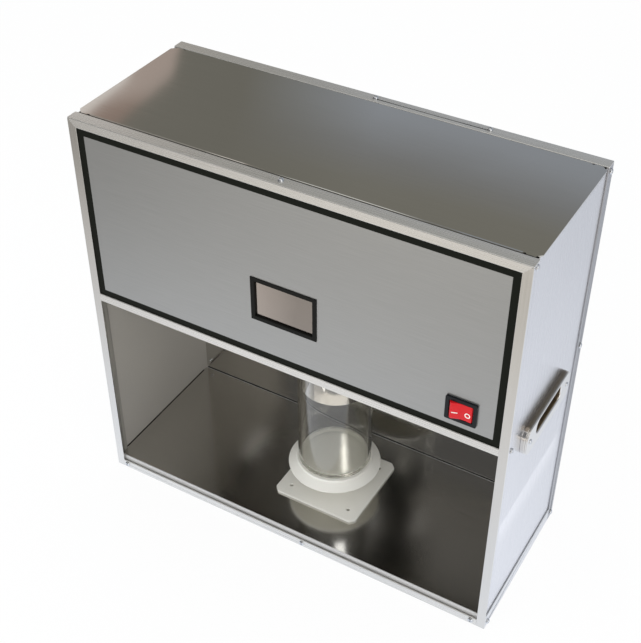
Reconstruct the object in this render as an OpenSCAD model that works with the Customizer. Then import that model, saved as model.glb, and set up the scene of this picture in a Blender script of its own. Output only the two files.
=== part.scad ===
// Bench-top quartz water still in a sheet-metal cabinet.
// The closed upper half holds the horizontal quartz still; the open lower bay
// holds the receiving vessel on its seat. Millimetres, +Z up, front face to -Y.
// Origin: middle of the whole footprint, at the level of the bench.

/* [Cabinet] */
// Width over the front frame
body_w = 510; // [490:5:620]
// Depth from the front frame to the back frame
body_d = 200; // [190:5:260]
// Height from the bench to the top rails
body_h = 500; // [480:5:600]
// Thickness of the stainless sheets
sheet_t = 1.2; // [0.8:0.1:1.6]
// Thickness of the angle trim
trim_t = 1.5; // [1.2:0.1:2]
// Face width of the front frame
rail_w = 10; // [8:0.5:16]
// Width of the top flanges of the front and back rails
flange_w = 14; // [12:0.5:20]
// Height of the outer base angles
base_h = 19; // [16:0.5:30]
// Height of the clear opening of the lower bay
bay_h = 266.7; // [255:0.1:300]
// Height of the floor tray above the bench
floor_z = 16; // [13:0.5:24]

/* [Front panel] */
// Width of the black border line
border_w = 8; // [4:0.5:12]
// Width of the window frame
window_w = 78; // [60:1:100]
// Height of the window frame
window_h = 54; // [40:1:60]
// Height of the window centre above the shelf
window_rise = 75.3; // [50:1:95]
// Width of the black window frame's sides
gasket_w = 4.6; // [3:0.2:8]
// Thickness of the window pane
pane_t = 2; // [1.5:0.5:4]

/* [Switch] */
// Sideways place of the switch from the middle
switch_x = 202; // [150:1:205]
// Height of the switch above the shelf
switch_rise = 30.3; // [24:1:60]
// Width of the switch bezel
bezel_w = 34; // [30:0.5:38]
// Height of the switch bezel
bezel_h = 29; // [26:0.5:32]
// Tilt of the rocker to each side
rocker_tilt = 9; // [6:0.5:12]

/* [Handles] */
// Length of the handle bezel
grip_w = 118; // [100:1:130]
// Height of the handle bezel
grip_h = 35; // [30:1:37]
// Length of the finger opening
finger_w = 67; // [56:1:76]
// Height of the finger opening
finger_h = 18; // [14:0.5:18]
// How far the handle stands proud of the side
grip_proud = 6.5; // [5:0.5:9]
// Depth of the finger pocket behind the bezel face
pocket_depth = 22; // [16:1:26]
// Height of the handle's middle below the shelf
grip_drop = 21.7; // [20:1:80]
// Handle's middle ahead of the cabinet's middle
grip_ahead = 3.6; // [-10:1:15]
// Distance of each handle screw from the handle's end
grip_screw_edge = 9.4; // [8:0.2:11]

/* [Receiver] */
// Sideways place of the vessel from the middle
vessel_x = 5; // [-40:1:40]
// Outer radius of the receiving vessel
vessel_r = 44.5; // [40:0.5:48]
// Wall of the receiving vessel
vessel_wall = 3.6; // [2.5:0.1:4]
// Height of the receiving vessel
vessel_h = 157; // [150:1:165]
// Side of the seat's square plate
plate_w = 111.5; // [106:0.5:130]
// Thickness of the seat's square plate
plate_t = 3; // [2:0.5:5]
// Hole spacing of the seat's square plate
plate_pitch = 79.4; // [76:0.2:88]
// Diameter of the holes in the seat's plate
plate_hole_d = 4.4; // [3.4:0.1:5.5]
// Height of the seat's pad above the floor tray
seat_h = 44.5; // [38:0.5:48]
// Radius of the seat's pad
pad_r = 46.3; // [45:0.1:50]
// Radius of the seat's saucer rim
saucer_r = 56.2; // [54:0.1:60]
// How far the saucer's rim lies below the pad
saucer_drop = 9.4; // [7:0.1:12]
// Overlap of the drip skirt into the vessel
skirt_dip = 40; // [20:1:40]
// Gap between the drip skirt and the inside of the vessel
skirt_gap = 1.9; // [1:0.1:4]
// Outer radius of the drip skirt's neck
neck_r = 33; // [26:0.5:34]
// Height of the drip skirt's neck above the shelf
neck_h = 20; // [14:1:24]

/* [Still] */
// Outer radius of the quartz still
still_r = 48; // [42:0.5:50]
// Wall of the quartz still
still_wall = 3; // [2.5:0.1:4]
// Length of the quartz still between its end caps
still_len = 350; // [300:5:370]
// Height of the still's axis above the shelf
still_rise = 121; // [110:1:130]
// Radius of the heater rods
heater_r = 6; // [5:0.5:7]
// Distance of each heater rod from the still's axis
heater_side = 21; // [18:0.5:24]
// Outer radius of the cooling and water pipes
pipe_r = 7; // [5:0.5:7]
// Wall of the cooling and water pipes
pipe_wall = 1; // [0.8:0.1:1.5]
// Height of the cooling pipe above the still's axis
cooler_rise = 28; // [24:1:30]
// Depth of the feed and overflow pipes below the still's axis
feed_drop = 26; // [24:1:30]

/* [Services] */
// Outer radius of the hose spigots on the back
spigot_r = 5; // [4:0.5:6.5]
// Plain length of each hose spigot
spigot_len = 18; // [14:1:24]
// Hole diameter of the cord gland
gland_bore_d = 8; // [6:0.5:9]
// Number of vent slots in each row of the back panel
vent_count = 9; // [4:1:10]

/* [Screws] */
// Head radius of the cabinet screws
head_r = 3.2; // [2.8:0.1:3.6]
// Shank radius of the cabinet screws
shank_r = 1.5; // [1.3:0.1:1.7]

/* [Hidden] */
$fn = 64;

eps = 0.01;
// gap between pieces that only sit in each other
clear = 0.3;
// gap between a screw or pipe and the hole that it passes
hole_gap = 0.2;

// cabinet planes, seen from its own middle
x_out = body_w / 2;
x_skin = x_out - trim_t;
x_in = x_skin - sheet_t;
x_post = x_in - trim_t;
x_open = x_out - rail_w;
y_front = -body_d / 2;
y_panel = y_front + trim_t;
y_back = body_d / 2;
y_skin = y_back - trim_t;
y_in = y_skin - sheet_t;
y_flange_front = y_front + flange_w;
y_flange_back = y_back - flange_w;
z_top = body_h;
z_cover = z_top - trim_t;
shelf_top = bay_h + rail_w;
shelf_low = shelf_top - sheet_t;
tray_low = floor_z - sheet_t;
// from each end of the cover to the end of its folds
cover_end = 17;

// front panel
overlay_t = 0.3;
overlay_low = shelf_top;
overlay_high = z_top - rail_w;
window_z = shelf_top + window_rise;

// switch
switch_z = shelf_top + switch_rise;
bezel_t = 2.5;
bezel_face = y_panel - bezel_t;
switch_cut_w = bezel_w - 5;
switch_cut_h = bezel_h - 5;
switch_deep = 20;
rocker_room_w = switch_cut_w - 3;
rocker_room_h = switch_cut_h - 3;
rocker_r = rocker_room_w / 2 - clear;
rocker_y = bezel_face + 4;
rocker_pin_r = 1.5;
rocker_crown = 6.5;
rocker_valley = 4.6;
pin_gap = 0.05;
tab_w = 6.3;
tab_t = 0.8;
tab_len = 9;
tab_pitch = 8;
tab_end = bezel_face + switch_deep + tab_len;

// handles
grip_y = -grip_ahead;
grip_z = shelf_top - grip_drop;
grip_corner = 12;
grip_wall = 1.2;
finger_corner = 7;
finger_lift = 4.5;
finger_top = grip_z + grip_h / 2 - finger_lift;
finger_z = finger_top - finger_h / 2;
grip_screw_side = grip_w / 2 - grip_screw_edge;
grip_face = x_skin + grip_proud;
cup_w = finger_w + 2 * grip_wall;
cup_h = finger_h + 2 * grip_wall;

// receiver
vessel_y = 1.5;
pad_z = floor_z + seat_h;
vessel_top = pad_z + vessel_h;
vessel_in_r = vessel_r - vessel_wall;
skirt_wall = 1;
skirt_r = vessel_in_r - skirt_gap;
skirt_low = vessel_top - skirt_dip;
skirt_flange_r = skirt_r + 11;
skirt_shelf_r = skirt_r + 0.4;
// corners of the seat's plate, and its middle as seen from the vessel's axis
plate_corner = 6;
plate_off_x = 1;
plate_off_y = 1.5;
spout_r = 8;
spout_wall = 2;

// still
still_z = shelf_top + still_rise;
still_y = vessel_y;
still_half = still_len / 2;
cap_t = 14;
cap_r = still_r + 5;
cap_seat = 6;
cap_out = still_half + cap_t - cap_seat;
cooler_z = still_z + cooler_rise;
feed_z = still_z - feed_drop;
funnel_r = 18;
funnel_top = cooler_z - pipe_r - 3;
pipe_bend = 16;
heater_cap_len = 10;
heater_out = cap_out + heater_cap_len;
rod_over = 2;
stud_r = 1.6;
link_t = 1;
link_w = 10;
pipe_x = heater_out + 8 + pipe_bend;
feed_x = cap_out + 6 + pipe_bend;
feed_side = 12;
cradle_x = still_half * 0.62;
cradle_w = 24;
cradle_t = 2;
strap_t = 1;
ear_w = 14;
ear_z = still_z + 4;

// services
nozzle_flange_r = 11;
nozzle_flange_t = 4;
nozzle_thread_r = 8;
nozzle_nut_r = 12;
spigot_tip = 1;
nozzle_reach = nozzle_flange_t + spigot_len + spigot_tip;
nozzle_inside = 12;
nut_t = 4;
gland_x = x_in - 52;
gland_z = shelf_top + 44;
gland_r = 9;
gland_reach = 20;
fuse_x = gland_x - 60;
fuse_len = 30;
earth_x = gland_x + 28;
block_x = x_in - 70;
block_y = y_back - 46;
pole_count = 3;
pole_w = 14;
block_side = pole_count * pole_w / 2;
block_half = 13;
// the bounding box runs from the raised side of the rocker to the ends of the hose spigots
rocker_corner = sqrt(pow(rocker_r, 2) - pow(rocker_crown, 2));
rocker_out = rocker_corner * sin(rocker_tilt) + rocker_crown * cos(rocker_tilt);
front_reach = y_front - (rocker_y - rocker_out);
rear_reach = nozzle_reach;
nozzle_spots = [[-pipe_x, cooler_z], [pipe_x, cooler_z],
  [-feed_x, feed_z], [feed_x, feed_z]];

// screws: places on each face
head_h = 2.2;
slot_w = 0.9;
screw_len = 7;
drill_len = 12;
front_spots = [[-x_open + 5, rail_w / 2 + 0.5], [18.5, rail_w / 2 + 0.5], [x_open - 7, rail_w / 2 + 0.5]];
front_col = y_front + flange_w - 2;
back_col = y_back - flange_w / 2;
side_spots = [[front_col, z_top - 8], [front_col, bay_h + 2],
  [y_front + flange_w / 2 + 1, rail_w / 2 + 1],
  [back_col, z_top - 8], [back_col, bay_h + 6], [back_col, rail_w / 2 + 3]];
top_spots = [[-4, y_front + flange_w / 2 + 1], [-3, y_back - flange_w / 2 + 1],
  [127, y_back - flange_w / 2 + 1]];
back_spots = [for (x = [-1, 1], z = [0.06, 0.34, 0.62, 0.9])
  [x * (x_out - flange_w / 2 - 2), z * body_h]];

module placed() {
  translate([0, (front_reach - rear_reach) / 2, 0]) children();
}

module block(low, high) {
  translate(low) cube(high - low);
}

// rounded rectangle from true arcs, centred
module rounded(w, h, r) {
  square([w - 2 * r, h], center = true);
  square([w, h - 2 * r], center = true);
  for (sx = [-1, 1], sy = [-1, 1])
    translate([sx * (w / 2 - r), sy * (h / 2 - r)]) circle(r);
}

// stand a flat outline up: its x stays x, its y becomes z, its thickness runs to +Y
module upright(y, t) {
  translate([0, y + t, 0]) rotate([90, 0, 0]) linear_extrude(t) children();
}

// pan-head screw along -Z, head up, with the underside of its head at z = 0
module screw(len = screw_len) {
  difference() {
    rotate_extrude() polygon([[0, -len], [shank_r, -len], [shank_r, 0], [head_r, 0],
      [head_r, head_h * 0.35], [head_r * 0.9, head_h * 0.68], [head_r * 0.68, head_h * 0.9],
      [head_r * 0.36, head_h], [0, head_h]]);
    for (a = [0, 90])
      rotate(a) translate([0, 0, head_h]) cube([head_r * 1.1, slot_w, 1.8], center = true);
  }
}

module drill(len, r = shank_r + hole_gap) {
  translate([0, 0, -len / 2]) cylinder(h = len, r = r);
}

module along_x(side) {
  rotate([0, side * 90, 0]) children();
}

module along_front() {
  rotate([90, 0, 0]) children();
}

module along_back() {
  rotate([-90, 0, 0]) children();
}

// holes for the screws of one side face, drilled through everything near it
module side_drills(side) {
  for (s = side_spots)
    translate([side * x_in, s[0], s[1]]) along_x(side) drill(drill_len);
}

module back_drills() {
  for (s = back_spots) translate([s[0], y_skin, s[1]]) along_back() drill(drill_len);
}

module top_drills() {
  for (s = top_spots) translate([s[0], s[1], z_cover]) drill(drill_len);
}

module front_drills() {
  for (s = front_spots) translate([s[0], y_panel, s[1]]) along_front() drill(drill_len);
}

// ---------- frame ----------

module front_post(side) {
  placed() color("silver") difference() {
    union() {
      upright(y_front, trim_t) polygon([[side * x_open, 0], [side * x_out, 0],
        [side * x_out, z_cover], [side * x_skin, z_cover], [side * x_open, z_top - rail_w]]);
      mirror([side < 0 ? 1 : 0, 0, 0])
        block([x_post, y_panel, 0], [x_in, y_front + flange_w + trim_t, z_cover]);
    }
    side_drills(side);
  }
}
module front_left_post() { front_post(-1); }
module front_right_post() { front_post(1); }

module front_top_rail() {
  placed() color("silver") difference() {
    union() {
      upright(y_front, trim_t) polygon([[-x_skin, z_cover], [-x_open, z_top - rail_w],
        [x_open, z_top - rail_w], [x_skin, z_cover]]);
      block([-x_out, y_front, z_cover], [x_out, y_flange_front, z_top]);
    }
    top_drills();
  }
}

module front_middle_rail() {
  placed() color("silver") {
    block([-x_open, y_front, bay_h], [x_open, y_panel, shelf_top]);
    block([-x_post, y_panel, shelf_low - trim_t], [x_post, y_flange_front, shelf_low]);
  }
}

module front_bottom_rail() {
  placed() color("silver") difference() {
    union() {
      block([-x_open, y_front, 0], [x_open, y_panel, rail_w]);
      block([-x_post, y_panel, 0], [x_post, y_front + base_h, trim_t]);
    }
    front_drills();
  }
}

module back_post(side) {
  placed() color("silver") difference() {
    mirror([side < 0 ? 1 : 0, 0, 0]) union() {
      block([x_skin, y_flange_back, 0], [x_out, y_back, z_cover]);
      block([x_out - flange_w, y_skin, 0], [x_out, y_back, z_cover]);
    }
    side_drills(side);
    back_drills();
  }
}
module back_left_post() { back_post(-1); }
module back_right_post() { back_post(1); }

module back_top_rail() {
  placed() color("silver") difference() {
    union() {
      block([-x_out, y_flange_back, z_cover], [x_out, y_back, z_top]);
      block([-(x_out - flange_w), y_skin, z_top - flange_w], [x_out - flange_w, y_back, z_top]);
    }
    top_drills();
  }
}

module back_bottom_rail() {
  placed() color("silver") {
    block([-(x_out - flange_w), y_skin, 0], [x_out - flange_w, y_back, base_h]);
    block([-x_in, y_back - base_h, 0], [x_in, y_skin, trim_t]);
  }
}

module base_angle(side) {
  placed() color("silver") difference() {
    mirror([side < 0 ? 1 : 0, 0, 0]) union() {
      block([x_skin, y_panel, 0], [x_out, y_flange_back, base_h]);
      block([x_out - base_h, y_front + base_h, 0], [x_out, y_back - base_h, trim_t]);
    }
    side_drills(side);
  }
}
module left_base_angle() { base_angle(-1); }
module right_base_angle() { base_angle(1); }

// ---------- sheets ----------

module side_panel(side) {
  placed() color("gainsboro") difference() {
    mirror([side < 0 ? 1 : 0, 0, 0]) difference() {
      block([x_in, y_panel, trim_t], [x_skin, y_skin, z_cover]);
      translate([x_in - 1, grip_y - cup_w / 2 - clear, finger_z - cup_h / 2 - clear])
        cube([sheet_t + 2, cup_w + 2 * clear, cup_h + 2 * clear]);
      grip_drills();
    }
    side_drills(side);
  }
}
module left_side_panel() { side_panel(-1); }
module right_side_panel() { side_panel(1); }

module top_cover() {
  fold = 8;
  clip = 6;
  fold_end = x_out - cover_end;
  low = y_flange_front + 1;
  high = y_flange_back - 0.6;
  placed() color("dimgray") difference() {
    union() {
      translate([0, 0, z_cover]) linear_extrude(sheet_t) polygon([
        [-x_out + clip, low], [x_out - clip, low], [x_out, low + clip], [x_out, high - clip],
        [x_out - clip, high], [-x_out + clip, high], [-x_out, high - clip], [-x_out, low + clip]]);
      for (y = [low, high - sheet_t])
        block([-fold_end, y, z_cover - fold], [fold_end, y + sheet_t, z_cover + eps]);
    }
    for (sx = [-1, 1], y = [low, high])
      translate([sx * (fold_end + 1.5), y, z_cover]) cylinder(h = 4 * sheet_t, r = 1.6, center = true);
  }
}

module back_panel() {
  slot_h = 3;
  slot_len = 34;
  placed() color("lightsteelblue") difference() {
    union() {
      block([-x_in, y_in, trim_t], [x_in, y_skin, z_cover]);
      block([-x_in, y_flange_back + 1, z_cover - sheet_t], [x_in, y_in, z_cover]);
    }
    for (row = [0, 1], i = [0 : vent_count - 1])
      translate([(i - (vent_count - 1) / 2) * (slot_len + 8), y_in + sheet_t / 2,
        z_top - 44 - row * 12]) cube([slot_len, 3 * sheet_t, slot_h], center = true);
    for (s = nozzle_spots)
      translate([s[0], y_in, s[1]]) along_back() drill(drill_len, nozzle_thread_r + hole_gap);
    translate([gland_x, y_in, gland_z]) along_back() drill(drill_len, gland_r + hole_gap);
    translate([fuse_x, y_in, gland_z]) along_back() drill(drill_len, 6 + hole_gap);
    translate([earth_x, y_in, gland_z]) along_back() drill(drill_len, 2.5 + hole_gap);
    back_drills();
    top_drills();
  }
}

module floor_tray() {
  front_y = y_panel + 2;
  placed() color("dimgray") difference() {
    union() {
      block([-x_in, front_y, tray_low], [x_in, y_in, floor_z]);
      block([-x_in, front_y, trim_t], [x_in, front_y + sheet_t, floor_z]);
      for (x = [-x_in, x_in - sheet_t])
        block([x, y_front + base_h + 1, trim_t], [x + sheet_t, y_in, tray_low + eps]);
      block([-x_in, y_in - sheet_t, trim_t], [x_in, y_in, tray_low + eps]);
    }
    for (sx = [-1, 1])
      translate([sx * x_in, front_y, floor_z])
        cube([2 * (trim_t + clear), 2 * (flange_w + trim_t), 4 * floor_z], center = true);
    side_drills(-1);
    side_drills(1);
    front_drills();
  }
}

module partition_shelf() {
  placed() color("gray") difference() {
    block([-x_post, y_panel, shelf_low], [x_post, y_in, shelf_top]);
    translate([vessel_x, vessel_y, shelf_low]) cylinder(h = 6, r = skirt_shelf_r, center = true);
  }
}

// small angle cleats that hang the shelf from the side panels
module shelf_brackets() {
  leg = 14;
  long = 24;
  placed() color("silver") for (sx = [0, 1], y = [y_front + 18, y_back - 42])
    mirror([sx, 0, 0]) {
      block([x_post - leg, y, shelf_low - trim_t], [x_in, y + long, shelf_low]);
      block([x_in - trim_t, y, shelf_low - leg / 2], [x_in, y + long, shelf_low]);
    }
}

// ---------- front panel ----------

module control_panel() {
  placed() color("silver") difference() {
    union() {
      block([-x_post, y_panel, shelf_top], [x_post, y_panel + sheet_t, z_cover]);
      block([-x_post, y_panel, z_cover - sheet_t], [x_post, y_flange_front - 1, z_cover]);
    }
    window_cut();
    translate([switch_x, y_panel, switch_z])
      cube([switch_cut_w + 2 * hole_gap, 6, switch_cut_h + 2 * hole_gap], center = true);
    top_drills();
  }
}

module window_cut() {
  translate([0, y_panel, window_z])
    cube([window_w - gasket_w, 8, window_h - gasket_w], center = true);
}

// printed aluminium film on the panel, left bare of lettering
module panel_overlay() {
  placed() color("lightgray") difference() {
    block([-x_open + border_w, y_panel - overlay_t, overlay_low + border_w],
      [x_open - border_w, y_panel, overlay_high - border_w]);
    window_cut();
    translate([switch_x, y_panel, switch_z])
      cube([switch_cut_w + 2 * hole_gap, 6, switch_cut_h + 2 * hole_gap], center = true);
  }
}

module panel_border() {
  placed() color([0.12, 0.12, 0.11]) difference() {
    block([-x_open, y_panel - overlay_t, overlay_low], [x_open, y_panel, overlay_high]);
    block([-x_open + border_w, y_panel - 1, overlay_low + border_w],
      [x_open - border_w, y_panel + 1, overlay_high - border_w]);
  }
}

module window_frame() {
  face = y_panel - overlay_t - 0.9;
  placed() color([0.12, 0.12, 0.11]) difference() {
    union() {
      translate([0, 0, window_z]) upright(face, 0.9) square([window_w, window_h], center = true);
      translate([0, 0, window_z]) upright(face, 0.9 + overlay_t + sheet_t)
        square([window_w - gasket_w - 2 * hole_gap, window_h - gasket_w - 2 * hole_gap], center = true);
    }
    translate([0, 0, window_z]) upright(face - 1, 6)
      square([window_w - 2 * gasket_w, window_h - 2 * gasket_w], center = true);
  }
}

// clear pane held against the back of the panel
module window_pane() {
  placed() color("lightblue", 0.4)
    translate([0, 0, window_z]) upright(y_panel + sheet_t, pane_t)
      square([window_w + 8, window_h + 8], center = true);
}

// ---------- switch ----------

module switch_housing() {
  placed() color([0.1, 0.1, 0.1]) difference() {
    union() {
      translate([switch_x, 0, switch_z]) upright(bezel_face, bezel_t - overlay_t)
        rounded(bezel_w, bezel_h, 1.5);
      translate([switch_x, 0, switch_z]) upright(bezel_face, switch_deep)
        square([switch_cut_w, switch_cut_h], center = true);
    }
    translate([switch_x, 0, switch_z]) upright(bezel_face - 1, switch_deep - 3)
      square([rocker_room_w, rocker_room_h], center = true);
    translate([switch_x, rocker_y, switch_z])
      cylinder(h = switch_cut_h - 0.6, r = rocker_pin_r + pin_gap, center = true);
  }
}

// plan of the rocker about its pin, straight position: two flats that meet in a shallow valley
module rocker_plan() {
  intersection() {
    circle(rocker_r);
    polygon([[0, -rocker_valley], [rocker_corner, -rocker_crown], [2 * rocker_r, 0],
      [rocker_r, 5], [5, 8.5], [-5, 8.5], [-rocker_r, 5], [-2 * rocker_r, 0],
      [-rocker_corner, -rocker_crown]]);
  }
}

module switch_rocker() {
  placed() color("red") translate([switch_x, rocker_y, switch_z]) rotate(rocker_tilt) {
    linear_extrude(rocker_room_h - 2 * clear, center = true) rocker_plan();
    cylinder(h = switch_cut_h - 1.2, r = rocker_pin_r, center = true);
  }
}

module switch_tabs() {
  placed() color("silver") for (i = [-1 : 1])
    translate([switch_x + i * tab_pitch, tab_end - tab_len / 2, switch_z])
      cube([tab_t, tab_len, tab_w], center = true);
}

// ---------- handles ----------

module grip_drills() {
  for (s = [-1, 1])
    translate([x_in, grip_y + s * grip_screw_side, grip_z]) along_x(1) drill(40);
}

// flat outline on the side face: x runs along the cabinet's depth, y is height
module on_side(x, t) {
  translate([x, 0, 0]) rotate([90, 0, 90]) linear_extrude(t) children();
}

module grip_slice(from, t, inset) {
  on_side(x_skin + from, t) translate([grip_y, grip_z])
    rounded(grip_w - 2 * inset, grip_h - 2 * inset, grip_corner - inset);
}

module handle(side) {
  bead = (grip_proud - 1.1) / 3;
  placed() color("lightgray") mirror([side < 0 ? 1 : 0, 0, 0]) difference() {
    union() {
      for (i = [0 : 2]) {
        grip_slice(i * bead, bead * 0.62, i * 0.25);
        grip_slice(i * bead + bead * 0.62 - eps, bead * 0.38 + 2 * eps, i * 0.25 + 0.7);
      }
      grip_slice(3 * bead, 0.6, 0.9);
      grip_slice(3 * bead + 0.6 - eps, 0.5 + eps, 1.5);
      block([grip_face - pocket_depth - grip_wall, grip_y - cup_w / 2, finger_z - cup_h / 2],
        [x_skin + 1, grip_y + cup_w / 2, finger_z + cup_h / 2]);
    }
    on_side(grip_face - pocket_depth, pocket_depth + 1) translate([grip_y, finger_z])
      rounded(finger_w, finger_h, finger_corner);
    grip_drills();
  }
}
module left_handle() { handle(-1); }
module right_handle() { handle(1); }

module handle_screws() {
  placed() color("silver") for (side = [-1, 1], s = [-1, 1])
    translate([side * grip_face, grip_y + s * grip_screw_side, grip_z])
      along_x(side) screw(grip_proud + 6);
}

// ---------- cabinet screws ----------

module front_screws() {
  placed() color("silver") for (s = front_spots)
    translate([s[0], y_front, s[1]]) along_front() screw(5);
}

module top_screws() {
  placed() color("silver") for (s = top_spots) translate([s[0], s[1], z_top]) screw(5);
}

// the front row bears on the bare side panel, the other screws on the angle trim
module side_screws(side) {
  placed() color("silver") for (s = side_spots)
    translate([side * (s[0] < 0 && s[1] > base_h ? x_skin : x_out), s[0], s[1]])
      along_x(side) screw(5);
}
module left_side_screws() { side_screws(-1); }
module right_side_screws() { side_screws(1); }

module back_screws() {
  placed() color("silver") for (s = back_spots)
    translate([s[0], y_back, s[1]]) along_back() screw(5);
}

// ---------- receiver ----------

module vessel_seat() {
  half = plate_w / 2;
  chamfer = plate_corner;
  stem_r = 34;
  bore_r = 29;
  rim_z = seat_h - saucer_drop;
  placed() color([0.9, 0.89, 0.86]) translate([vessel_x, vessel_y, floor_z]) difference() {
    union() {
      translate([plate_off_x, plate_off_y, 0]) linear_extrude(plate_t) polygon([
        [-half + chamfer, -half], [half - chamfer, -half], [half, -half + chamfer],
        [half, half - chamfer], [half - chamfer, half], [-half + chamfer, half],
        [-half, half - chamfer], [-half, -half + chamfer]]);
      rotate_extrude() polygon([[bore_r, 0], [stem_r, 0], [stem_r, rim_z - 4],
        [saucer_r - 1, rim_z - 2], [saucer_r, rim_z - 1.2], [saucer_r, rim_z - 0.4],
        [saucer_r - 0.6, rim_z], [pad_r, seat_h - 1.8], [pad_r, seat_h - 0.3],
        [pad_r - 0.3, seat_h], [0, seat_h], [0, seat_h - 4], [bore_r, seat_h - 4]]);
    }
    cylinder(h = 4 * plate_t, r = bore_r, center = true);
    for (sx = [-1, 1], sy = [-1, 1])
      translate([plate_off_x + sx * plate_pitch / 2, plate_off_y + sy * plate_pitch / 2,
        plate_t / 2])
        cylinder(h = 2 * plate_t, r = plate_hole_d / 2, center = true);
  }
}

module receiving_vessel() {
  base = 4;
  foot = 2;
  placed() color("white", 0.35) translate([vessel_x, vessel_y, pad_z]) rotate_extrude()
    union() {
      difference() {
        union() {
          translate([0, foot]) square([vessel_r, vessel_h - foot - vessel_wall / 2]);
          square([vessel_r - foot, foot + 1]);
          translate([vessel_r - foot, foot]) circle(foot);
        }
        translate([0, base + 3]) square([vessel_in_r, vessel_h]);
        translate([0, base]) square([vessel_in_r - 3, 4]);
        translate([vessel_in_r - 3, base + 3]) circle(3);
      }
      translate([vessel_r - vessel_wall / 2, vessel_h - vessel_wall / 2]) circle(vessel_wall / 2);
    }
}

// polished collar that hangs from the shelf into the vessel and keeps dust off the water
module drip_skirt() {
  lid_z = shelf_top + neck_h;
  hole_r = spout_r + 0.5;
  placed() color("darkgray") translate([vessel_x, vessel_y, 0]) rotate_extrude() polygon([
    [skirt_r - skirt_wall, skirt_low], [skirt_r, skirt_low], [skirt_r, shelf_top],
    [skirt_flange_r, shelf_top], [skirt_flange_r, shelf_top + skirt_wall],
    [neck_r, shelf_top + skirt_wall], [neck_r, lid_z - 1], [neck_r - 1, lid_z],
    [hole_r, lid_z], [hole_r, lid_z - skirt_wall], [neck_r - skirt_wall, lid_z - skirt_wall],
    [neck_r - skirt_wall, shelf_top], [skirt_r - skirt_wall, shelf_top]]);
}

// ---------- still ----------

module quartz_still() {
  placed() color("white", 0.35) difference() {
    union() {
      translate([-still_half, still_y, still_z]) rotate([0, 90, 0]) difference() {
        cylinder(h = still_len, r = still_r);
        translate([0, 0, -1]) cylinder(h = still_len + 2, r = still_r - still_wall);
      }
      translate([vessel_x, still_y, 0]) rotate_extrude() polygon([[spout_r - spout_wall, shelf_top + 4],
        [spout_r, shelf_top + 4], [spout_r, funnel_top - 12], [funnel_r, funnel_top],
        [funnel_r - 1.5, funnel_top], [spout_r - spout_wall, funnel_top - 11]]);
    }
    translate([vessel_x, still_y, shelf_top]) cylinder(h = still_rise, r = spout_r - spout_wall);
  }
}

module end_cap(side) {
  place = side * (still_half - cap_seat);
  placed() color("white") difference() {
    translate([place, still_y, still_z]) along_x(side) difference() {
      union() {
        cylinder(h = cap_t, r = cap_r);
        translate([0, 0, -6]) cylinder(h = 8, r = still_r - still_wall - clear);
      }
      // ring groove that takes the end of the tube
      difference() {
        translate([0, 0, -1]) cylinder(h = cap_seat + 1, r = still_r + clear);
        translate([0, 0, -1]) cylinder(h = cap_seat + 2, r = still_r - still_wall - clear);
      }
    }
    translate([place, still_y, cooler_z]) along_x(side) drill(80, pipe_r + hole_gap);
    translate([place, still_y - side * feed_side, feed_z]) along_x(side) drill(80, pipe_r + hole_gap);
    for (s = [-1, 1])
      translate([place, still_y + s * heater_side, still_z]) along_x(side)
        drill(80, heater_r + hole_gap);
  }
}
module left_end_cap() { end_cap(-1); }
module right_end_cap() { end_cap(1); }

// quarter bend of the pipe that turns from +X towards +Y
module pipe_elbow() {
  translate([0, pipe_bend, 0]) rotate(-90) rotate_extrude(angle = 90)
    translate([pipe_bend, 0]) difference() {
      circle(pipe_r);
      circle(pipe_r - pipe_wall);
    }
}

module pipe_run(len) {
  difference() {
    cylinder(h = len, r = pipe_r);
    translate([0, 0, -1]) cylinder(h = len + 2, r = pipe_r - pipe_wall);
  }
}

// straight tube through the still with an elbow and a stub to the back at each end
module cooling_pipe() {
  bend_x = pipe_x - pipe_bend;
  placed() color("lightgray") translate([0, still_y, cooler_z]) {
    translate([-bend_x, 0, 0]) rotate([0, 90, 0]) pipe_run(2 * bend_x);
    for (m = [0, 1]) mirror([m, 0, 0]) {
      translate([bend_x, 0, 0]) pipe_elbow();
      translate([pipe_x, pipe_bend, 0]) along_back()
        pipe_run(y_in - nozzle_inside - still_y - pipe_bend);
    }
  }
}

// water pipe from one end cap to its nozzle on the back
module water_pipe(side) {
  start_x = still_half - 12;
  bend_x = feed_x - pipe_bend;
  y = still_y - side * feed_side;
  placed() color("lightgray") mirror([side < 0 ? 1 : 0, 0, 0]) translate([0, y, feed_z]) {
    translate([start_x, 0, 0]) rotate([0, 90, 0]) pipe_run(bend_x - start_x);
    translate([bend_x, 0, 0]) pipe_elbow();
    translate([feed_x, pipe_bend, 0]) along_back()
      pipe_run(y_in - nozzle_inside - y - pipe_bend);
  }
}
module feed_pipe() { water_pipe(-1); }
module overflow_pipe() { water_pipe(1); }

module heater_rods() {
  placed() color("white", 0.5) for (s = [-1, 1])
    translate([-cap_out - rod_over, still_y + s * heater_side, still_z]) rotate([0, 90, 0])
      cylinder(h = 2 * (cap_out + rod_over), r = heater_r);
}

module heater_caps() {
  placed() color("ivory") for (side = [-1, 1], s = [-1, 1])
    translate([side * cap_out, still_y + s * heater_side, still_z]) along_x(side) difference() {
      cylinder(h = heater_cap_len, r = heater_r + 3);
      translate([0, 0, -1]) cylinder(h = rod_over + 1.2, r = heater_r + hole_gap);
      cylinder(h = 3 * heater_cap_len, r = stud_r + hole_gap);
    }
}

module heater_studs() {
  placed() color("goldenrod") for (side = [-1, 1], s = [-1, 1])
    translate([side * cap_out, still_y + s * heater_side, still_z]) along_x(side) {
      translate([0, 0, rod_over + 0.2]) cylinder(h = heater_cap_len + 3, r = stud_r);
      translate([0, 0, heater_cap_len + link_t]) cylinder(h = 2.4, r = 3.2, $fn = 6);
    }
}

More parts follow.
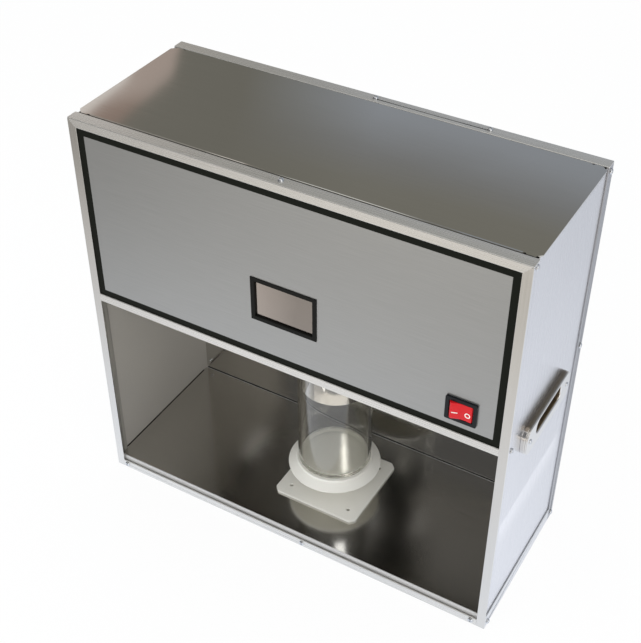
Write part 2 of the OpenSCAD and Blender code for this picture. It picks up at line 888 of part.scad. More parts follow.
// strip that joins the two heater studs at each end
module heater_links() {
  placed() color("sandybrown") for (side = [-1, 1])
    translate([side * heater_out, still_y, still_z]) along_x(side) difference() {
      linear_extrude(link_t) rounded(link_w, 2 * heater_side + link_w, 0.45 * link_w);
      for (s = [-1, 1]) translate([0, s * heater_side, 0]) drill(8, stud_r + hole_gap);
    }
}

// sheet saddle on the shelf, cut to the tube
module still_cradles() {
  half_w = still_r + ear_w;
  placed() color("silver") for (s = [-1, 1])
    translate([s * cradle_x, still_y, 0]) difference() {
      union() {
        block([-cradle_t / 2, -half_w, shelf_top], [cradle_t / 2, half_w, ear_z]);
        block([-cradle_w / 2, -half_w, shelf_top], [cradle_w / 2, half_w, shelf_top + cradle_t]);
        for (e = [-half_w, still_r + 1.5])
          block([-cradle_w / 2, e, ear_z - cradle_t], [cradle_w / 2, e + ear_w - 1.5, ear_z]);
      }
      translate([-cradle_w, 0, still_z]) rotate([0, 90, 0])
        cylinder(h = 2 * cradle_w, r = still_r + clear);
      strap_drills();
    }
}

module strap_drills() {
  for (s = [-1, 1]) translate([0, s * (still_r + ear_w / 2 + 1), ear_z]) drill(20);
}

module still_straps() {
  band = 16;
  placed() color("silver") for (s = [-1, 1])
    translate([s * cradle_x, still_y, 0]) difference() {
      union() {
        intersection() {
          translate([-band / 2, 0, still_z]) rotate([0, 90, 0])
            cylinder(h = band, r = still_r + clear + strap_t);
          block([-band, -100, ear_z], [band, 100, still_z + 100]);
        }
        block([-band / 2, -(still_r + ear_w), ear_z], [band / 2, still_r + ear_w, ear_z + strap_t]);
      }
      translate([-band, 0, still_z]) rotate([0, 90, 0])
        cylinder(h = 2 * band, r = still_r + clear);
      strap_drills();
    }
}

module strap_screws() {
  placed() color("silver") for (s = [-1, 1], e = [-1, 1])
    translate([s * cradle_x, still_y + e * (still_r + ear_w / 2 + 1), ear_z + strap_t]) screw(6);
}

// ---------- services on the back ----------

module hose_nozzles() {
  placed() color("goldenrod") for (s = nozzle_spots)
    translate([s[0], y_skin, s[1]]) along_back() difference() {
      union() {
        translate([0, 0, -sheet_t - nozzle_inside]) cylinder(h = nozzle_inside + 4, r = nozzle_thread_r);
        cylinder(h = nozzle_flange_t + trim_t, r = nozzle_flange_r, $fn = 6);
        translate([0, 0, trim_t]) cylinder(h = nozzle_flange_t + spigot_len, r = spigot_r);
        translate([0, 0, trim_t + nozzle_flange_t + spigot_len])
          cylinder(h = spigot_tip, r1 = spigot_r, r2 = spigot_r - spigot_tip);
      }
      translate([0, 0, -sheet_t - nozzle_inside - 1]) cylinder(h = 100, r = spigot_r - 1.6);
    }
}

module nozzle_nuts() {
  placed() color("goldenrod") for (s = nozzle_spots)
    translate([s[0], y_in - nut_t, s[1]]) along_back() difference() {
      cylinder(h = nut_t, r = nozzle_nut_r, $fn = 6);
      translate([0, 0, -1]) cylinder(h = nut_t + 2, r = nozzle_thread_r + 0.1);
    }
}

module cord_gland() {
  placed() color([0.15, 0.15, 0.15]) translate([gland_x, y_skin, gland_z]) along_back() difference() {
    union() {
      translate([0, 0, -sheet_t - 9]) cylinder(h = 12, r = gland_r);
      cylinder(h = 6, r = gland_r + 3, $fn = 6);
      cylinder(h = gland_reach, r = gland_r - 1);
      translate([0, 0, 8]) cylinder(h = 8, r = gland_r + 2, $fn = 6);
    }
    translate([0, 0, -20]) cylinder(h = 60, r = gland_bore_d / 2);
  }
}

module gland_nut() {
  placed() color([0.15, 0.15, 0.15]) translate([gland_x, y_in - nut_t, gland_z]) along_back()
    difference() {
      cylinder(h = nut_t, r = gland_r + 3.5, $fn = 6);
      translate([0, 0, -1]) cylinder(h = nut_t + 2, r = gland_r + 0.1);
    }
}

module fuse_holder() {
  placed() color([0.15, 0.15, 0.15]) translate([fuse_x, y_skin, gland_z]) along_back() {
    cylinder(h = 3, r = 8.5);
    cylinder(h = 11, r = 6.5);
    translate([0, 0, -fuse_len]) cylinder(h = fuse_len + 1, r = 6);
  }
}

module earth_stud() {
  placed() color("goldenrod") translate([earth_x, y_skin, gland_z]) along_back() {
    translate([0, 0, -8]) cylinder(h = 24, r = 2.5);
    cylinder(h = 4, r = 5, $fn = 6);
    translate([0, 0, 6]) cylinder(h = 3, r = 4.5, $fn = 6);
  }
}

module terminal_block() {
  placed() color("ivory") translate([block_x, block_y, shelf_top]) difference() {
    block([-block_side, -block_half, 0], [block_side, block_half, 16]);
    for (i = [0 : pole_count - 1], s = [-1, 1])
      translate([(i - (pole_count - 1) / 2) * pole_w, s * 6, 10]) cylinder(h = 10, r = 3.4);
  }
}

module terminal_screws() {
  placed() color("goldenrod") translate([block_x, block_y, shelf_top + 10])
    for (i = [0 : pole_count - 1], s = [-1, 1])
      translate([(i - (pole_count - 1) / 2) * pole_w, s * 6, 0]) difference() {
        cylinder(h = 4, r = 3.1);
        translate([0, 0, 4]) cube([8, 0.9, 2], center = true);
      }
}

wire_r = 1.5;
wire_bend = 6;
wire_z = shelf_top + 8;

// one insulated wire along points that turn square, with round corners
module wire(points) {
  last = len(points) - 1;
  for (i = [0 : last - 1]) {
    step = points[i + 1] - points[i];
    dir = step / norm(step);
    from = points[i] + dir * (i > 0 ? wire_bend : 0);
    long = norm(step) - (i > 0 ? wire_bend : 0) - (i < last - 1 ? wire_bend : 0);
    translate(from) rotate([0, acos(dir[2]), atan2(dir[1], dir[0])])
      cylinder(h = long, r = wire_r);
    if (i < last - 1) {
      after = points[i + 2] - points[i + 1];
      next = after / norm(after);
      side = cross(dir, next);
      at = points[i + 1] - dir * wire_bend + next * wire_bend;
      multmatrix([[-next[0], dir[0], side[0], at[0]], [-next[1], dir[1], side[1], at[1]],
        [-next[2], dir[2], side[2], at[2]]])
        rotate_extrude(angle = 90) translate([wire_bend, 0]) circle(wire_r);
    }
  }
}

module wires() {
  block_front = block_y - block_half;
  block_rear = block_y + block_half;
  drop_x = pipe_x + pipe_r + 8;
  end_x = heater_out + link_t;
  placed() color([0.2, 0.2, 0.2]) {
    for (i = [-1 : 1]) {
      x = switch_x + i * tab_pitch;
      y = tab_end + 28 + i * 6;
      pole_x = block_x + i * pole_w;
      wire([[x, tab_end, switch_z], [x, y, switch_z], [x, y, wire_z], [pole_x, y, wire_z],
        [pole_x, block_front, wire_z]]);
    }
    for (side = [-1, 1]) {
      pole_x = block_x + side * pole_w;
      y = block_rear + (side > 0 ? 12 : 18);
      wire([[side * end_x, still_y, still_z], [side * drop_x, still_y, still_z],
        [side * drop_x, still_y, wire_z], [side * drop_x, y, wire_z], [pole_x, y, wire_z],
        [pole_x, block_rear, wire_z]]);
    }
    wire([[fuse_x, y_skin - fuse_len, gland_z], [fuse_x, block_y, gland_z],
      [fuse_x, block_y, wire_z], [block_x - block_side, block_y, wire_z]]);
  }
}

front_left_post();
front_right_post();
front_top_rail();
front_middle_rail();
front_bottom_rail();
back_left_post();
back_right_post();
back_top_rail();
back_bottom_rail();
left_base_angle();
right_base_angle();
left_side_panel();
right_side_panel();
top_cover();
back_panel();
floor_tray();
partition_shelf();
shelf_brackets();
control_panel();
panel_overlay();
panel_border();
window_frame();
window_pane();
switch_housing();
switch_rocker();
switch_tabs();
left_handle();
right_handle();
handle_screws();
front_screws();
top_screws();
left_side_screws();
right_side_screws();
back_screws();
vessel_seat();
receiving_vessel();
drip_skirt();
quartz_still();
left_end_cap();
right_end_cap();
cooling_pipe();
heater_rods();
heater_caps();
heater_studs();
heater_links();
still_cradles();
still_straps();
strap_screws();
feed_pipe();
overflow_pipe();
hose_nozzles();
nozzle_nuts();
cord_gland();
gland_nut();
terminal_block();
terminal_screws();
fuse_holder();
earth_stud();
wires();
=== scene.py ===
# %% [markdown]
# This lesson dresses a bench-top quartz water still: a cabinet of folded stainless sheet on angle trim.
# Its upper half is closed by a silver front panel, and its lower half is an open bay with a glass vessel.
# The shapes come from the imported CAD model, so the script starts by loading them. What is left to Blender
# is the finish of every surface, the softness of every edge, and the few pieces that need rounder forms.

# %% Load the model
import math

import bmesh
import bpy
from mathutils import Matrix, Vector


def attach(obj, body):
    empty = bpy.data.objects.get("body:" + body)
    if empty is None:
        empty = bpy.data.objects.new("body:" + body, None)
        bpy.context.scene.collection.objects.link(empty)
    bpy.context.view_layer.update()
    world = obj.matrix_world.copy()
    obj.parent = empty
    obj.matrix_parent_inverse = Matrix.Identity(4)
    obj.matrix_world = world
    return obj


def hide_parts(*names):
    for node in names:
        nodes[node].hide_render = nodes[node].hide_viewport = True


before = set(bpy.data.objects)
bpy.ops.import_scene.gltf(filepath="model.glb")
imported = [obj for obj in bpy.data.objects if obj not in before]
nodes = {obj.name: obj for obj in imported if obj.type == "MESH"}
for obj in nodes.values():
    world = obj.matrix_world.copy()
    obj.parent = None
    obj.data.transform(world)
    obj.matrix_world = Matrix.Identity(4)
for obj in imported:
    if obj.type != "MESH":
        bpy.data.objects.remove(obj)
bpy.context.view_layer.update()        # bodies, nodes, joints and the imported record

MM = 0.001
SHIFT_Y_MM = -8.9366      # the frame's middle lies this far behind the cabinet's own

# %% [markdown]
# The camera comes first, because every later choice is judged through it. Its place was solved from the
# straight edges of the cabinet: about 30 degrees to the right of the front and 39 degrees down. The lens
# is a short telephoto. The photograph is almost square, so the 36 mm sensor lies along its taller side.

# %% Camera
CAMERA_PLACE = Vector((0.5118, -0.9074, 1.1040))
CAMERA_LOOKS = Vector((-0.3927, 0.6706, -0.6294))
LENS_MM = 66.94
SENSOR_MM = 36.0

camera_data = bpy.data.cameras.new("photo_camera")
camera_data.lens = LENS_MM
camera_data.sensor_width = SENSOR_MM
camera = bpy.data.objects.new("photo_camera", camera_data)
camera.location = CAMERA_PLACE
camera.rotation_euler = CAMERA_LOOKS.to_track_quat("-Z", "Y").to_euler()
bpy.context.scene.collection.objects.link(camera)
bpy.context.scene.camera = camera
bpy.context.scene.view_settings.view_transform = "Standard"
print("camera at", tuple(round(c, 3) for c in camera.location))

# %% [markdown]
# Colours are written as sRGB hex values, the way a paint chart gives them, and one function turns them
# into the linear numbers that shaders work with. One more function adds a shader node: it sets the
# node's own settings, then fills each input with a value or links it to another node's output.

# %% Colours and shader nodes
def linear(hex_colour):
    """sRGB hex to linear RGBA."""
    channels = [int(hex_colour[i:i + 2], 16) / 255 for i in (1, 3, 5)]
    straight = [c / 12.92 if c <= 0.04045 else ((c + 0.055) / 1.055) ** 2.4 for c in channels]
    return (*straight, 1.0)


def add(tree, kind, inputs=None, **settings):
    """Adds a node with its settings; inputs maps a socket to a value or to another node's output."""
    made = tree.nodes.new(kind)
    for key, value in settings.items():
        setattr(made, key, value)
    for key, value in (inputs or {}).items():
        if isinstance(value, bpy.types.NodeSocket):
            tree.links.new(value, made.inputs[key])
        else:
            made.inputs[key].default_value = value
    return made


def empty_material(name):
    material = bpy.data.materials.new(name)
    material.use_nodes = True
    material.node_tree.nodes.clear()
    return material, material.node_tree


def ways_of_seeing(tree):
    """Two switches: seen by the camera, also through glass; and seen in metal. Both are 0 for light itself."""
    path = add(tree, "ShaderNodeLightPath")
    mirrored_before = add(tree, "ShaderNodeMath", {0: path.outputs["Glossy Depth"], 1: 0.5}, operation="GREATER_THAN")
    through = add(tree, "ShaderNodeMath", {0: path.outputs["Is Transmission Ray"], 1: mirrored_before.outputs[0]},
                  operation="SUBTRACT", use_clamp=True)
    seen = add(tree, "ShaderNodeMath", {0: path.outputs["Is Camera Ray"], 1: through.outputs[0]}, operation="MAXIMUM")
    shiny = add(tree, "ShaderNodeMath", {0: path.outputs["Is Glossy Ray"], 1: path.outputs["Is Transmission Ray"]},
                operation="MAXIMUM")
    not_through = add(tree, "ShaderNodeMath", {0: shiny.outputs[0], 1: through.outputs[0]}, operation="SUBTRACT")
    mirrored = add(tree, "ShaderNodeMath", {0: not_through.outputs[0], 1: path.outputs["Diffuse Depth"]},
                   operation="SUBTRACT", use_clamp=True)
    return seen.outputs[0], mirrored.outputs[0]


print("middle grey #808080 is", round(linear("#808080")[0], 3), "in linear light")

# %% [markdown]
# The cabinet stands on a white paper sweep. To the camera the paper is white, and it keeps a faint shadow
# of the cabinet, because a small share of it is real paper under the lamps. The bright metal shows it too,
# a little dimmer further out, and that fall-off is what shades the front of the cabinet from top to foot.

# %% Floor
PAPER_WHITE = "#FFFFFF"
GLOW_SHARE = 0.93      # the rest is real paper, which takes the shadow
FLOOR_HALF = 12.0
FLOOR_GAP = 0.0005     # keeps the paper clear of the faces that stand on it
COOL_TINT, WARM_TINT = (0.94, 0.98, 1.06, 1), (1.06, 1.0, 0.92, 1)
# how bright the metal sees the paper, from behind the cabinet to far in front of it
PAPER_BY_DEPTH = ((0.8, 0.66), (0.62, 0.70), (0.35, 0.80), (0.13, 0.92), (0.0, 1.0), (-0.1, 1.0), (-0.25, 0.92),
                  (-0.4, 0.84), (-0.55, 0.74), (-0.66, 0.56), (-0.78, 0.36), (-0.9, 0.27))
PAPER_BY_WIDTH = ((-0.9, 0.45), (-0.62, 0.70), (-0.45, 0.86), (-0.3, 0.98), (-0.1, 1.0), (0.05, 0.95), (0.15, 0.88),
                  (0.3, 0.95), (0.5, 1.05), (0.8, 1.25))


def make_floor():
    material, tree = empty_material("white_paper_sweep")
    place = add(tree, "ShaderNodeNewGeometry")
    axes = add(tree, "ShaderNodeSeparateXYZ", {0: place.outputs["Position"]})
    levels = []
    for axis, table in (("Y", PAPER_BY_DEPTH), ("X", PAPER_BY_WIDTH)):
        start, end = table[0][0], table[-1][0]
        along = add(tree, "ShaderNodeMapRange", {0: axes.outputs[axis], 1: start, 2: end})
        ramp = add(tree, "ShaderNodeValToRGB", {0: along.outputs[0]})
        stops = ramp.color_ramp.elements
        for number, (at, level) in enumerate(table):
            stop = stops[0] if number == 0 else stops.new((at - start) / (end - start))
            stop.position, stop.color = (at - start) / (end - start), (level, level, level, 1)
        stops.remove(stops[len(stops) - 1])
        levels.append(ramp.outputs[0])
    level = add(tree, "ShaderNodeMath", {0: levels[0], 1: levels[1]}, operation="MULTIPLY")
    warm = add(tree, "ShaderNodeMapRange", {0: axes.outputs["Y"], 1: -0.2, 2: -0.7})
    tint = add(tree, "ShaderNodeMix", {"Factor": warm.outputs[0], 6: COOL_TINT, 7: WARM_TINT}, data_type="RGBA")
    mirrored = add(tree, "ShaderNodeEmission", {"Color": tint.outputs[2], "Strength": level.outputs[0]})
    white = add(tree, "ShaderNodeEmission", {"Color": (1, 1, 1, 1), "Strength": 1.0})
    seen, in_metal = ways_of_seeing(tree)
    glow = add(tree, "ShaderNodeMixShader", {0: seen, 1: mirrored.outputs[0], 2: white.outputs[0]})
    direct = add(tree, "ShaderNodeMath", {0: seen, 1: in_metal}, operation="MAXIMUM")
    share = add(tree, "ShaderNodeMath", {0: direct.outputs[0], 1: GLOW_SHARE}, operation="MULTIPLY")
    paper = add(tree, "ShaderNodeBsdfDiffuse", {"Color": linear(PAPER_WHITE)})
    both = add(tree, "ShaderNodeMixShader", {0: share.outputs[0], 1: paper.outputs[0], 2: glow.outputs[0]})
    add(tree, "ShaderNodeOutputMaterial", {"Surface": both.outputs[0]})
    corners = [(-FLOOR_HALF, -FLOOR_HALF, 0), (FLOOR_HALF, -FLOOR_HALF, 0), (FLOOR_HALF, FLOOR_HALF, 0),
               (-FLOOR_HALF, FLOOR_HALF, 0)]
    mesh = bpy.data.meshes.new("floor")
    mesh.from_pydata(corners, [], [(0, 1, 2, 3)])
    floor = bpy.data.objects.new("floor", mesh)
    floor.location.z = -FLOOR_GAP
    mesh.materials.append(material)
    bpy.context.scene.collection.objects.link(floor)
    print("floor", 2 * FLOOR_HALF, "m wide")


make_floor()

# %% [markdown]
# Polished sheet has almost no colour of its own: it shows the room. So the room gets a shape, written by
# the direction of view. Behind the cabinet it is dim and a little olive, with a bluish band low on the
# right. Far on the left stands a bright doorway with a rosy rim, which turns dark red higher up; it makes
# the blush near the left end of the top sheet.

# %% Room behind the cabinet
ROOM_OLIVE = (0.215, 0.210, 0.188, 1)
BAND_STOPS = ((0.15, (0.365, 0.395, 0.45, 1)), (0.57, (0.265, 0.272, 0.285, 1)), (0.86, (0.245, 0.240, 0.215, 1)))
DOOR_ROSY, DOOR_RED, DOOR_WHITE = (0.53, 0.445, 0.41, 1), (0.36, 0.27, 0.235, 1), (0.92, 0.87, 0.85, 1)


def room_behind(tree, way, axes):
    """The colour of the room behind the cabinet, by direction."""
    slope = add(tree, "ShaderNodeVectorMath", {0: way, 1: (-0.19, 0.0, 1.0)}, operation="DOT_PRODUCT")
    band = add(tree, "ShaderNodeMapRange", {0: slope.outputs["Value"], 1: 0.55, 2: 0.62})
    band_colour = add(tree, "ShaderNodeValToRGB", {0: band.outputs[0]})
    stops = band_colour.color_ramp.elements
    stops[0].position, stops[0].color = BAND_STOPS[0]
    stops[1].position, stops[1].color = BAND_STOPS[2]
    stops.new(BAND_STOPS[1][0]).color = BAND_STOPS[1][1]
    leftward = add(tree, "ShaderNodeMapRange", {0: axes.outputs["X"], 1: -0.50, 2: -0.40})
    wall = add(tree, "ShaderNodeMix", {"Factor": leftward.outputs[0], 6: ROOM_OLIVE, 7: band_colour.outputs[0]},
               data_type="RGBA")

    jamb = add(tree, "ShaderNodeMapRange", {0: axes.outputs["Z"], 1: 0.457, 2: 1.457, 3: 0.549, 4: 1.399})
    beside = add(tree, "ShaderNodeMath", {0: axes.outputs["X"], 1: jamb.outputs[0]}, operation="ADD")
    edge = add(tree, "ShaderNodeMapRange", {0: beside.outputs[0], 1: 0.003, 2: -0.004},
               interpolation_type="SMOOTHSTEP")
    low = add(tree, "ShaderNodeMapRange", {0: axes.outputs["Z"], 1: 0.37, 2: 0.41, 3: 0.25, 4: 1.0})
    share = add(tree, "ShaderNodeMath", {0: edge.outputs[0], 1: low.outputs[0]}, operation="MULTIPLY")
    high = add(tree, "ShaderNodeMapRange", {0: axes.outputs["Z"], 1: 0.465, 2: 0.476})
    rim = add(tree, "ShaderNodeMix", {"Factor": high.outputs[0], 6: DOOR_ROSY, 7: DOOR_RED}, data_type="RGBA")
    core = add(tree, "ShaderNodeMapRange", {0: beside.outputs[0], 1: -0.025, 2: -0.034},
               interpolation_type="SMOOTHSTEP")
    door = add(tree, "ShaderNodeMix", {"Factor": core.outputs[0], 6: rim.outputs[2], 7: DOOR_WHITE},
               data_type="RGBA")
    return add(tree, "ShaderNodeMix", {"Factor": share.outputs[0], 6: wall.outputs[2], 7: door.outputs[2]},
               data_type="RGBA").outputs[2]


print("room behind: a band of", len(BAND_STOPS), "tones and a doorway")

# %% [markdown]
# In front of the cabinet the room is dark, with a bright window far on the right, and the ceiling is
# white. Only metal sees this room. What is matte gets an even, plain light from it instead, and the camera
# sees plain white, so that the room never tints a surface that doesn't mirror it.

# %% Whole room
ROOM_LIGHT = 0.78
FRONT_DARK, FRONT_WINDOW = (0.15, 0.15, 0.155, 1), (1.6, 1.58, 1.55, 1)
CEILING, SKIRTING = (1.0, 0.99, 0.97, 1), (0.5, 0.49, 0.46, 1)


def make_room():
    world = bpy.data.worlds.new("studio_room")
    world.use_nodes = True
    tree = world.node_tree
    tree.nodes.clear()
    way = add(tree, "ShaderNodeTexCoord").outputs["Generated"]
    axes = add(tree, "ShaderNodeSeparateXYZ", {0: way})

    rightward = add(tree, "ShaderNodeMapRange", {0: axes.outputs["X"], 1: 0.57, 2: 0.70},
                    interpolation_type="SMOOTHSTEP")
    ahead = add(tree, "ShaderNodeMix", {"Factor": rightward.outputs[0], 6: FRONT_DARK, 7: FRONT_WINDOW},
                data_type="RGBA")
    facing = add(tree, "ShaderNodeMapRange", {0: axes.outputs["Y"], 1: -0.05, 2: 0.05})
    around = add(tree, "ShaderNodeMix",
                 {"Factor": facing.outputs[0], 6: ahead.outputs[2], 7: room_behind(tree, way, axes)},
                 data_type="RGBA")
    overhead = add(tree, "ShaderNodeMapRange", {0: axes.outputs["Z"], 1: 0.80, 2: 0.93},
                   interpolation_type="SMOOTHSTEP")
    roof = add(tree, "ShaderNodeMix", {"Factor": overhead.outputs[0], 6: around.outputs[2], 7: CEILING},
               data_type="RGBA")
    sinking = add(tree, "ShaderNodeMapRange", {0: axes.outputs["Z"], 1: 0.0, 2: 0.03})
    mirrored = add(tree, "ShaderNodeMix", {"Factor": sinking.outputs[0], 6: SKIRTING, 7: roof.outputs[2]},
                   data_type="RGBA")

    plain = add(tree, "ShaderNodeBackground", {"Color": (0.98, 1.0, 1.02, 1), "Strength": ROOM_LIGHT})
    shaped = add(tree, "ShaderNodeBackground", {"Color": mirrored.outputs[2], "Strength": 1.0})
    white = add(tree, "ShaderNodeBackground", {"Color": (1, 1, 1, 1), "Strength": 1.0})
    seen, in_metal = ways_of_seeing(tree)
    room = add(tree, "ShaderNodeMixShader", {0: in_metal, 1: plain.outputs[0], 2: shaped.outputs[0]})
    both = add(tree, "ShaderNodeMixShader", {0: seen, 1: room.outputs[0], 2: white.outputs[0]})
    add(tree, "ShaderNodeOutputWorld", {"Surface": both.outputs[0]})
    bpy.context.scene.world = world
    print("room with", len(tree.nodes), "nodes")


make_room()

# %% [markdown]
# Three wide, weak softboxes light what is matte: the seat, the switch, the paper. They are wide so that
# their shadows stay soft. They are hidden from reflections, because the metal already mirrors the room and
# would otherwise show the same lamp twice. A small one on the right wall of the bay stands for the light
# that this wall throws back; many short paths between mirrors are slow to trace, and one lamp is quick.
# A last one, seen in metal only, is the gleam of the vessel that the polished floor shows before the seat.

# %% Softboxes
def softbox(name, place, size, radiance, hex_colour="#FFFFFF", aim=(0, 0, 0.2)):
    """A rectangle of even light; its brightness is given as radiance, so that its size can change freely."""
    data = bpy.data.lights.new(name, "AREA")
    data.shape = "RECTANGLE"
    data.size, data.size_y = size
    data.energy = radiance * math.pi * size[0] * size[1]
    data.color = linear(hex_colour)[:3]
    lamp = bpy.data.objects.new(name, data)
    lamp.location = place
    lamp.rotation_euler = (Vector(aim) - Vector(place)).to_track_quat("-Z", "Y").to_euler()
    lamp.visible_glossy = False
    bpy.context.scene.collection.objects.link(lamp)
    print(name, round(data.energy, 3), "W")
    return lamp


softbox("front_right_softbox", (1.5, -2.2, 1.5), (2.6, 2.0), 1.15)
softbox("front_left_softbox", (-1.2, -2.2, 0.9), (2.2, 1.6), 1.3)
softbox("overhead_softbox", (0.0, -0.2, 2.6), (2.2, 1.6), 0.7)
bay_fill = softbox("bay_fill", (0.237, -0.02, 0.19), (0.16, 0.13), 2.1, aim=(0.0, -0.02, 0.06))
bay_fill.visible_camera = bay_fill.visible_transmission = False
gleam = softbox("vessel_gleam", (0.0345, -0.0450, 0.088), (0.012, 0.050), 1.5, aim=(0.0572, -0.085, 0.016))
gleam.visible_camera = gleam.visible_transmission = gleam.visible_diffuse = False
gleam.visible_glossy = True

# %% [markdown]
# The bright collar in the vessel throws a narrow streak of light on the seat below it. That is a caustic:
# a path tracer finds it only with a great many samples. So three tiny, narrow lamps draw it instead, from
# inside the vessel straight down. They overlap in one wedge, and they are hidden from every other view.

# %% Streak of light under the collar
def streak(name, place, size, watts, turn_deg, spread_deg=11):
    lamp = softbox(name, place, size, 1.0, aim=(place[0], place[1], 0.0))
    lamp.data.energy = watts
    lamp.data.spread = math.radians(spread_deg)
    lamp.rotation_euler = (0, 0, math.radians(turn_deg))
    lamp.visible_camera = False
    lamp.visible_transmission = False


streak("streak_long", (0.0145, -0.001, 0.115), (0.004, 0.066), 0.0011, 30)
streak("streak_middle", (0.0205, -0.0115, 0.115), (0.007, 0.044), 0.0011, 30)
streak("streak_wide", (0.0255, -0.0200, 0.115), (0.011, 0.026), 0.0009, 30)

# %% [markdown]
# Real sheet and moulded edges are never sharp, and the thin bright lines along them are what the eye
# reads as metal. A bevel modifier rounds the edges of the CAD meshes without touching the meshes
# themselves. A weld comes first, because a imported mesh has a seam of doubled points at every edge, and
# weighted normals come last, so that wide faces stay flat in the light and only the edges turn.

# %% Soft edges on CAD nodes
CREASE_DEG = 32


def modify(piece, kind, **settings):
    """Adds a modifier, named for its kind, with its settings."""
    made = piece.modifiers.new(kind.lower(), kind)
    for key, value in settings.items():
        setattr(made, key, value)


def soften(node_names, width_mm, segments=2):
    for name in node_names:
        node = nodes[name]
        for face in node.data.polygons:
            face.use_smooth = True
        modify(node, "WELD", merge_threshold=0.005 * MM)
        modify(node, "BEVEL", width=width_mm * MM, segments=segments, limit_method="ANGLE",
               angle_limit=math.radians(CREASE_DEG))
        modify(node, "WEIGHTED_NORMAL", weight=100, keep_sharp=False)
    print("softened by", width_mm, "mm:", ", ".join(node_names))


def dress(material, node_names):
    """Puts a material on CAD nodes."""
    for name in node_names:
        slots = nodes[name].data.materials
        slots.clear()
        slots.append(material)
    print(material.name, "->", ", ".join(node_names))


POSTS = ["front_left_post", "front_right_post", "back_left_post", "back_right_post"]
RAILS = ["front_top_rail", "front_middle_rail", "front_bottom_rail", "back_top_rail", "back_bottom_rail"]
BASE_ANGLES = ["left_base_angle", "right_base_angle"]
SIDE_SHEETS = ["left_side_panel", "right_side_panel"]
SCREWS = ["handle_screws", "front_screws", "top_screws", "left_side_screws", "right_side_screws",
          "back_screws", "strap_screws"]
soften(POSTS + RAILS + BASE_ANGLES, 0.7, 3)
soften(SIDE_SHEETS + ["top_cover", "back_panel", "floor_tray", "partition_shelf", "control_panel"], 0.3)
soften(["switch_housing"], 0.5, 3)
soften(SCREWS, 0.12, 1)

# %% [markdown]
# Stainless sheet is ground with an abrasive belt, which leaves fine parallel scratches. They spread a
# reflection across their direction and give the sheet its silk. Real scratches are 0.1 to 0.3 mm wide;
# here they are drawn about 0.8 mm wide, so that a picture of the whole cabinet can still show them.
# A broad, faint cloudiness stands for the small unevenness of rolled sheet, and a broad relief lets the
# mirrored room waver a little, as it does in any thin sheet.

# %% Ground stainless steel
GRAIN_WIDTH_MM = 0.8
GRAIN_LENGTH_MM = 70.0
CLOUD_MM = 140.0


def ground_stainless(name, tone, second_tone, rough, along, silk=0.05, depth_mm=0.004, waver_mm=0.12, matte=0.0):
    """Belt-ground stainless steel; along is the axis, 0 to 2, that the scratches follow."""
    material, tree = empty_material(name)
    place = add(tree, "ShaderNodeTexCoord")
    size_mm = [GRAIN_WIDTH_MM] * 3
    size_mm[along] = GRAIN_LENGTH_MM
    fine = add(tree, "ShaderNodeMapping", {0: place.outputs["Object"], "Scale": [1000 / s for s in size_mm]})
    grain = add(tree, "ShaderNodeTexNoise", {"Vector": fine.outputs[0], "Scale": 1.0, "Detail": 3.0})
    cloud = add(tree, "ShaderNodeTexNoise",
                {"Vector": place.outputs["Object"], "Scale": 1000 / CLOUD_MM, "Detail": 2.0})
    blend = add(tree, "ShaderNodeMath", {0: grain.outputs[0], 1: cloud.outputs[0]}, operation="ADD")
    spread = add(tree, "ShaderNodeMapRange", {0: blend.outputs[0], 1: 0.75, 2: 1.25})
    colour = add(tree, "ShaderNodeMix", {0: spread.outputs[0], 6: linear(tone), 7: linear(second_tone)},
                 data_type="RGBA")
    gloss = add(tree, "ShaderNodeMapRange", {0: grain.outputs[0], 1: 0.3, 2: 0.7, 3: rough - silk, 4: rough + silk})
    broad = add(tree, "ShaderNodeBump", {"Strength": 1.0, "Distance": waver_mm * MM, "Height": cloud.outputs[0]})
    relief = add(tree, "ShaderNodeBump", {"Strength": 1.0, "Distance": depth_mm * MM,
                                          "Height": grain.outputs[0], "Normal": broad.outputs[0]})
    steel = add(tree, "ShaderNodeBsdfPrincipled",
                {"Base Color": colour.outputs[2], "Metallic": 1.0 - matte, "Roughness": gloss.outputs[0],
                 "Normal": relief.outputs[0]})
    add(tree, "ShaderNodeOutputMaterial", {0: steel.outputs[0]})
    return material, steel


print("grain drawn", GRAIN_WIDTH_MM, "mm wide and", GRAIN_LENGTH_MM, "mm long")
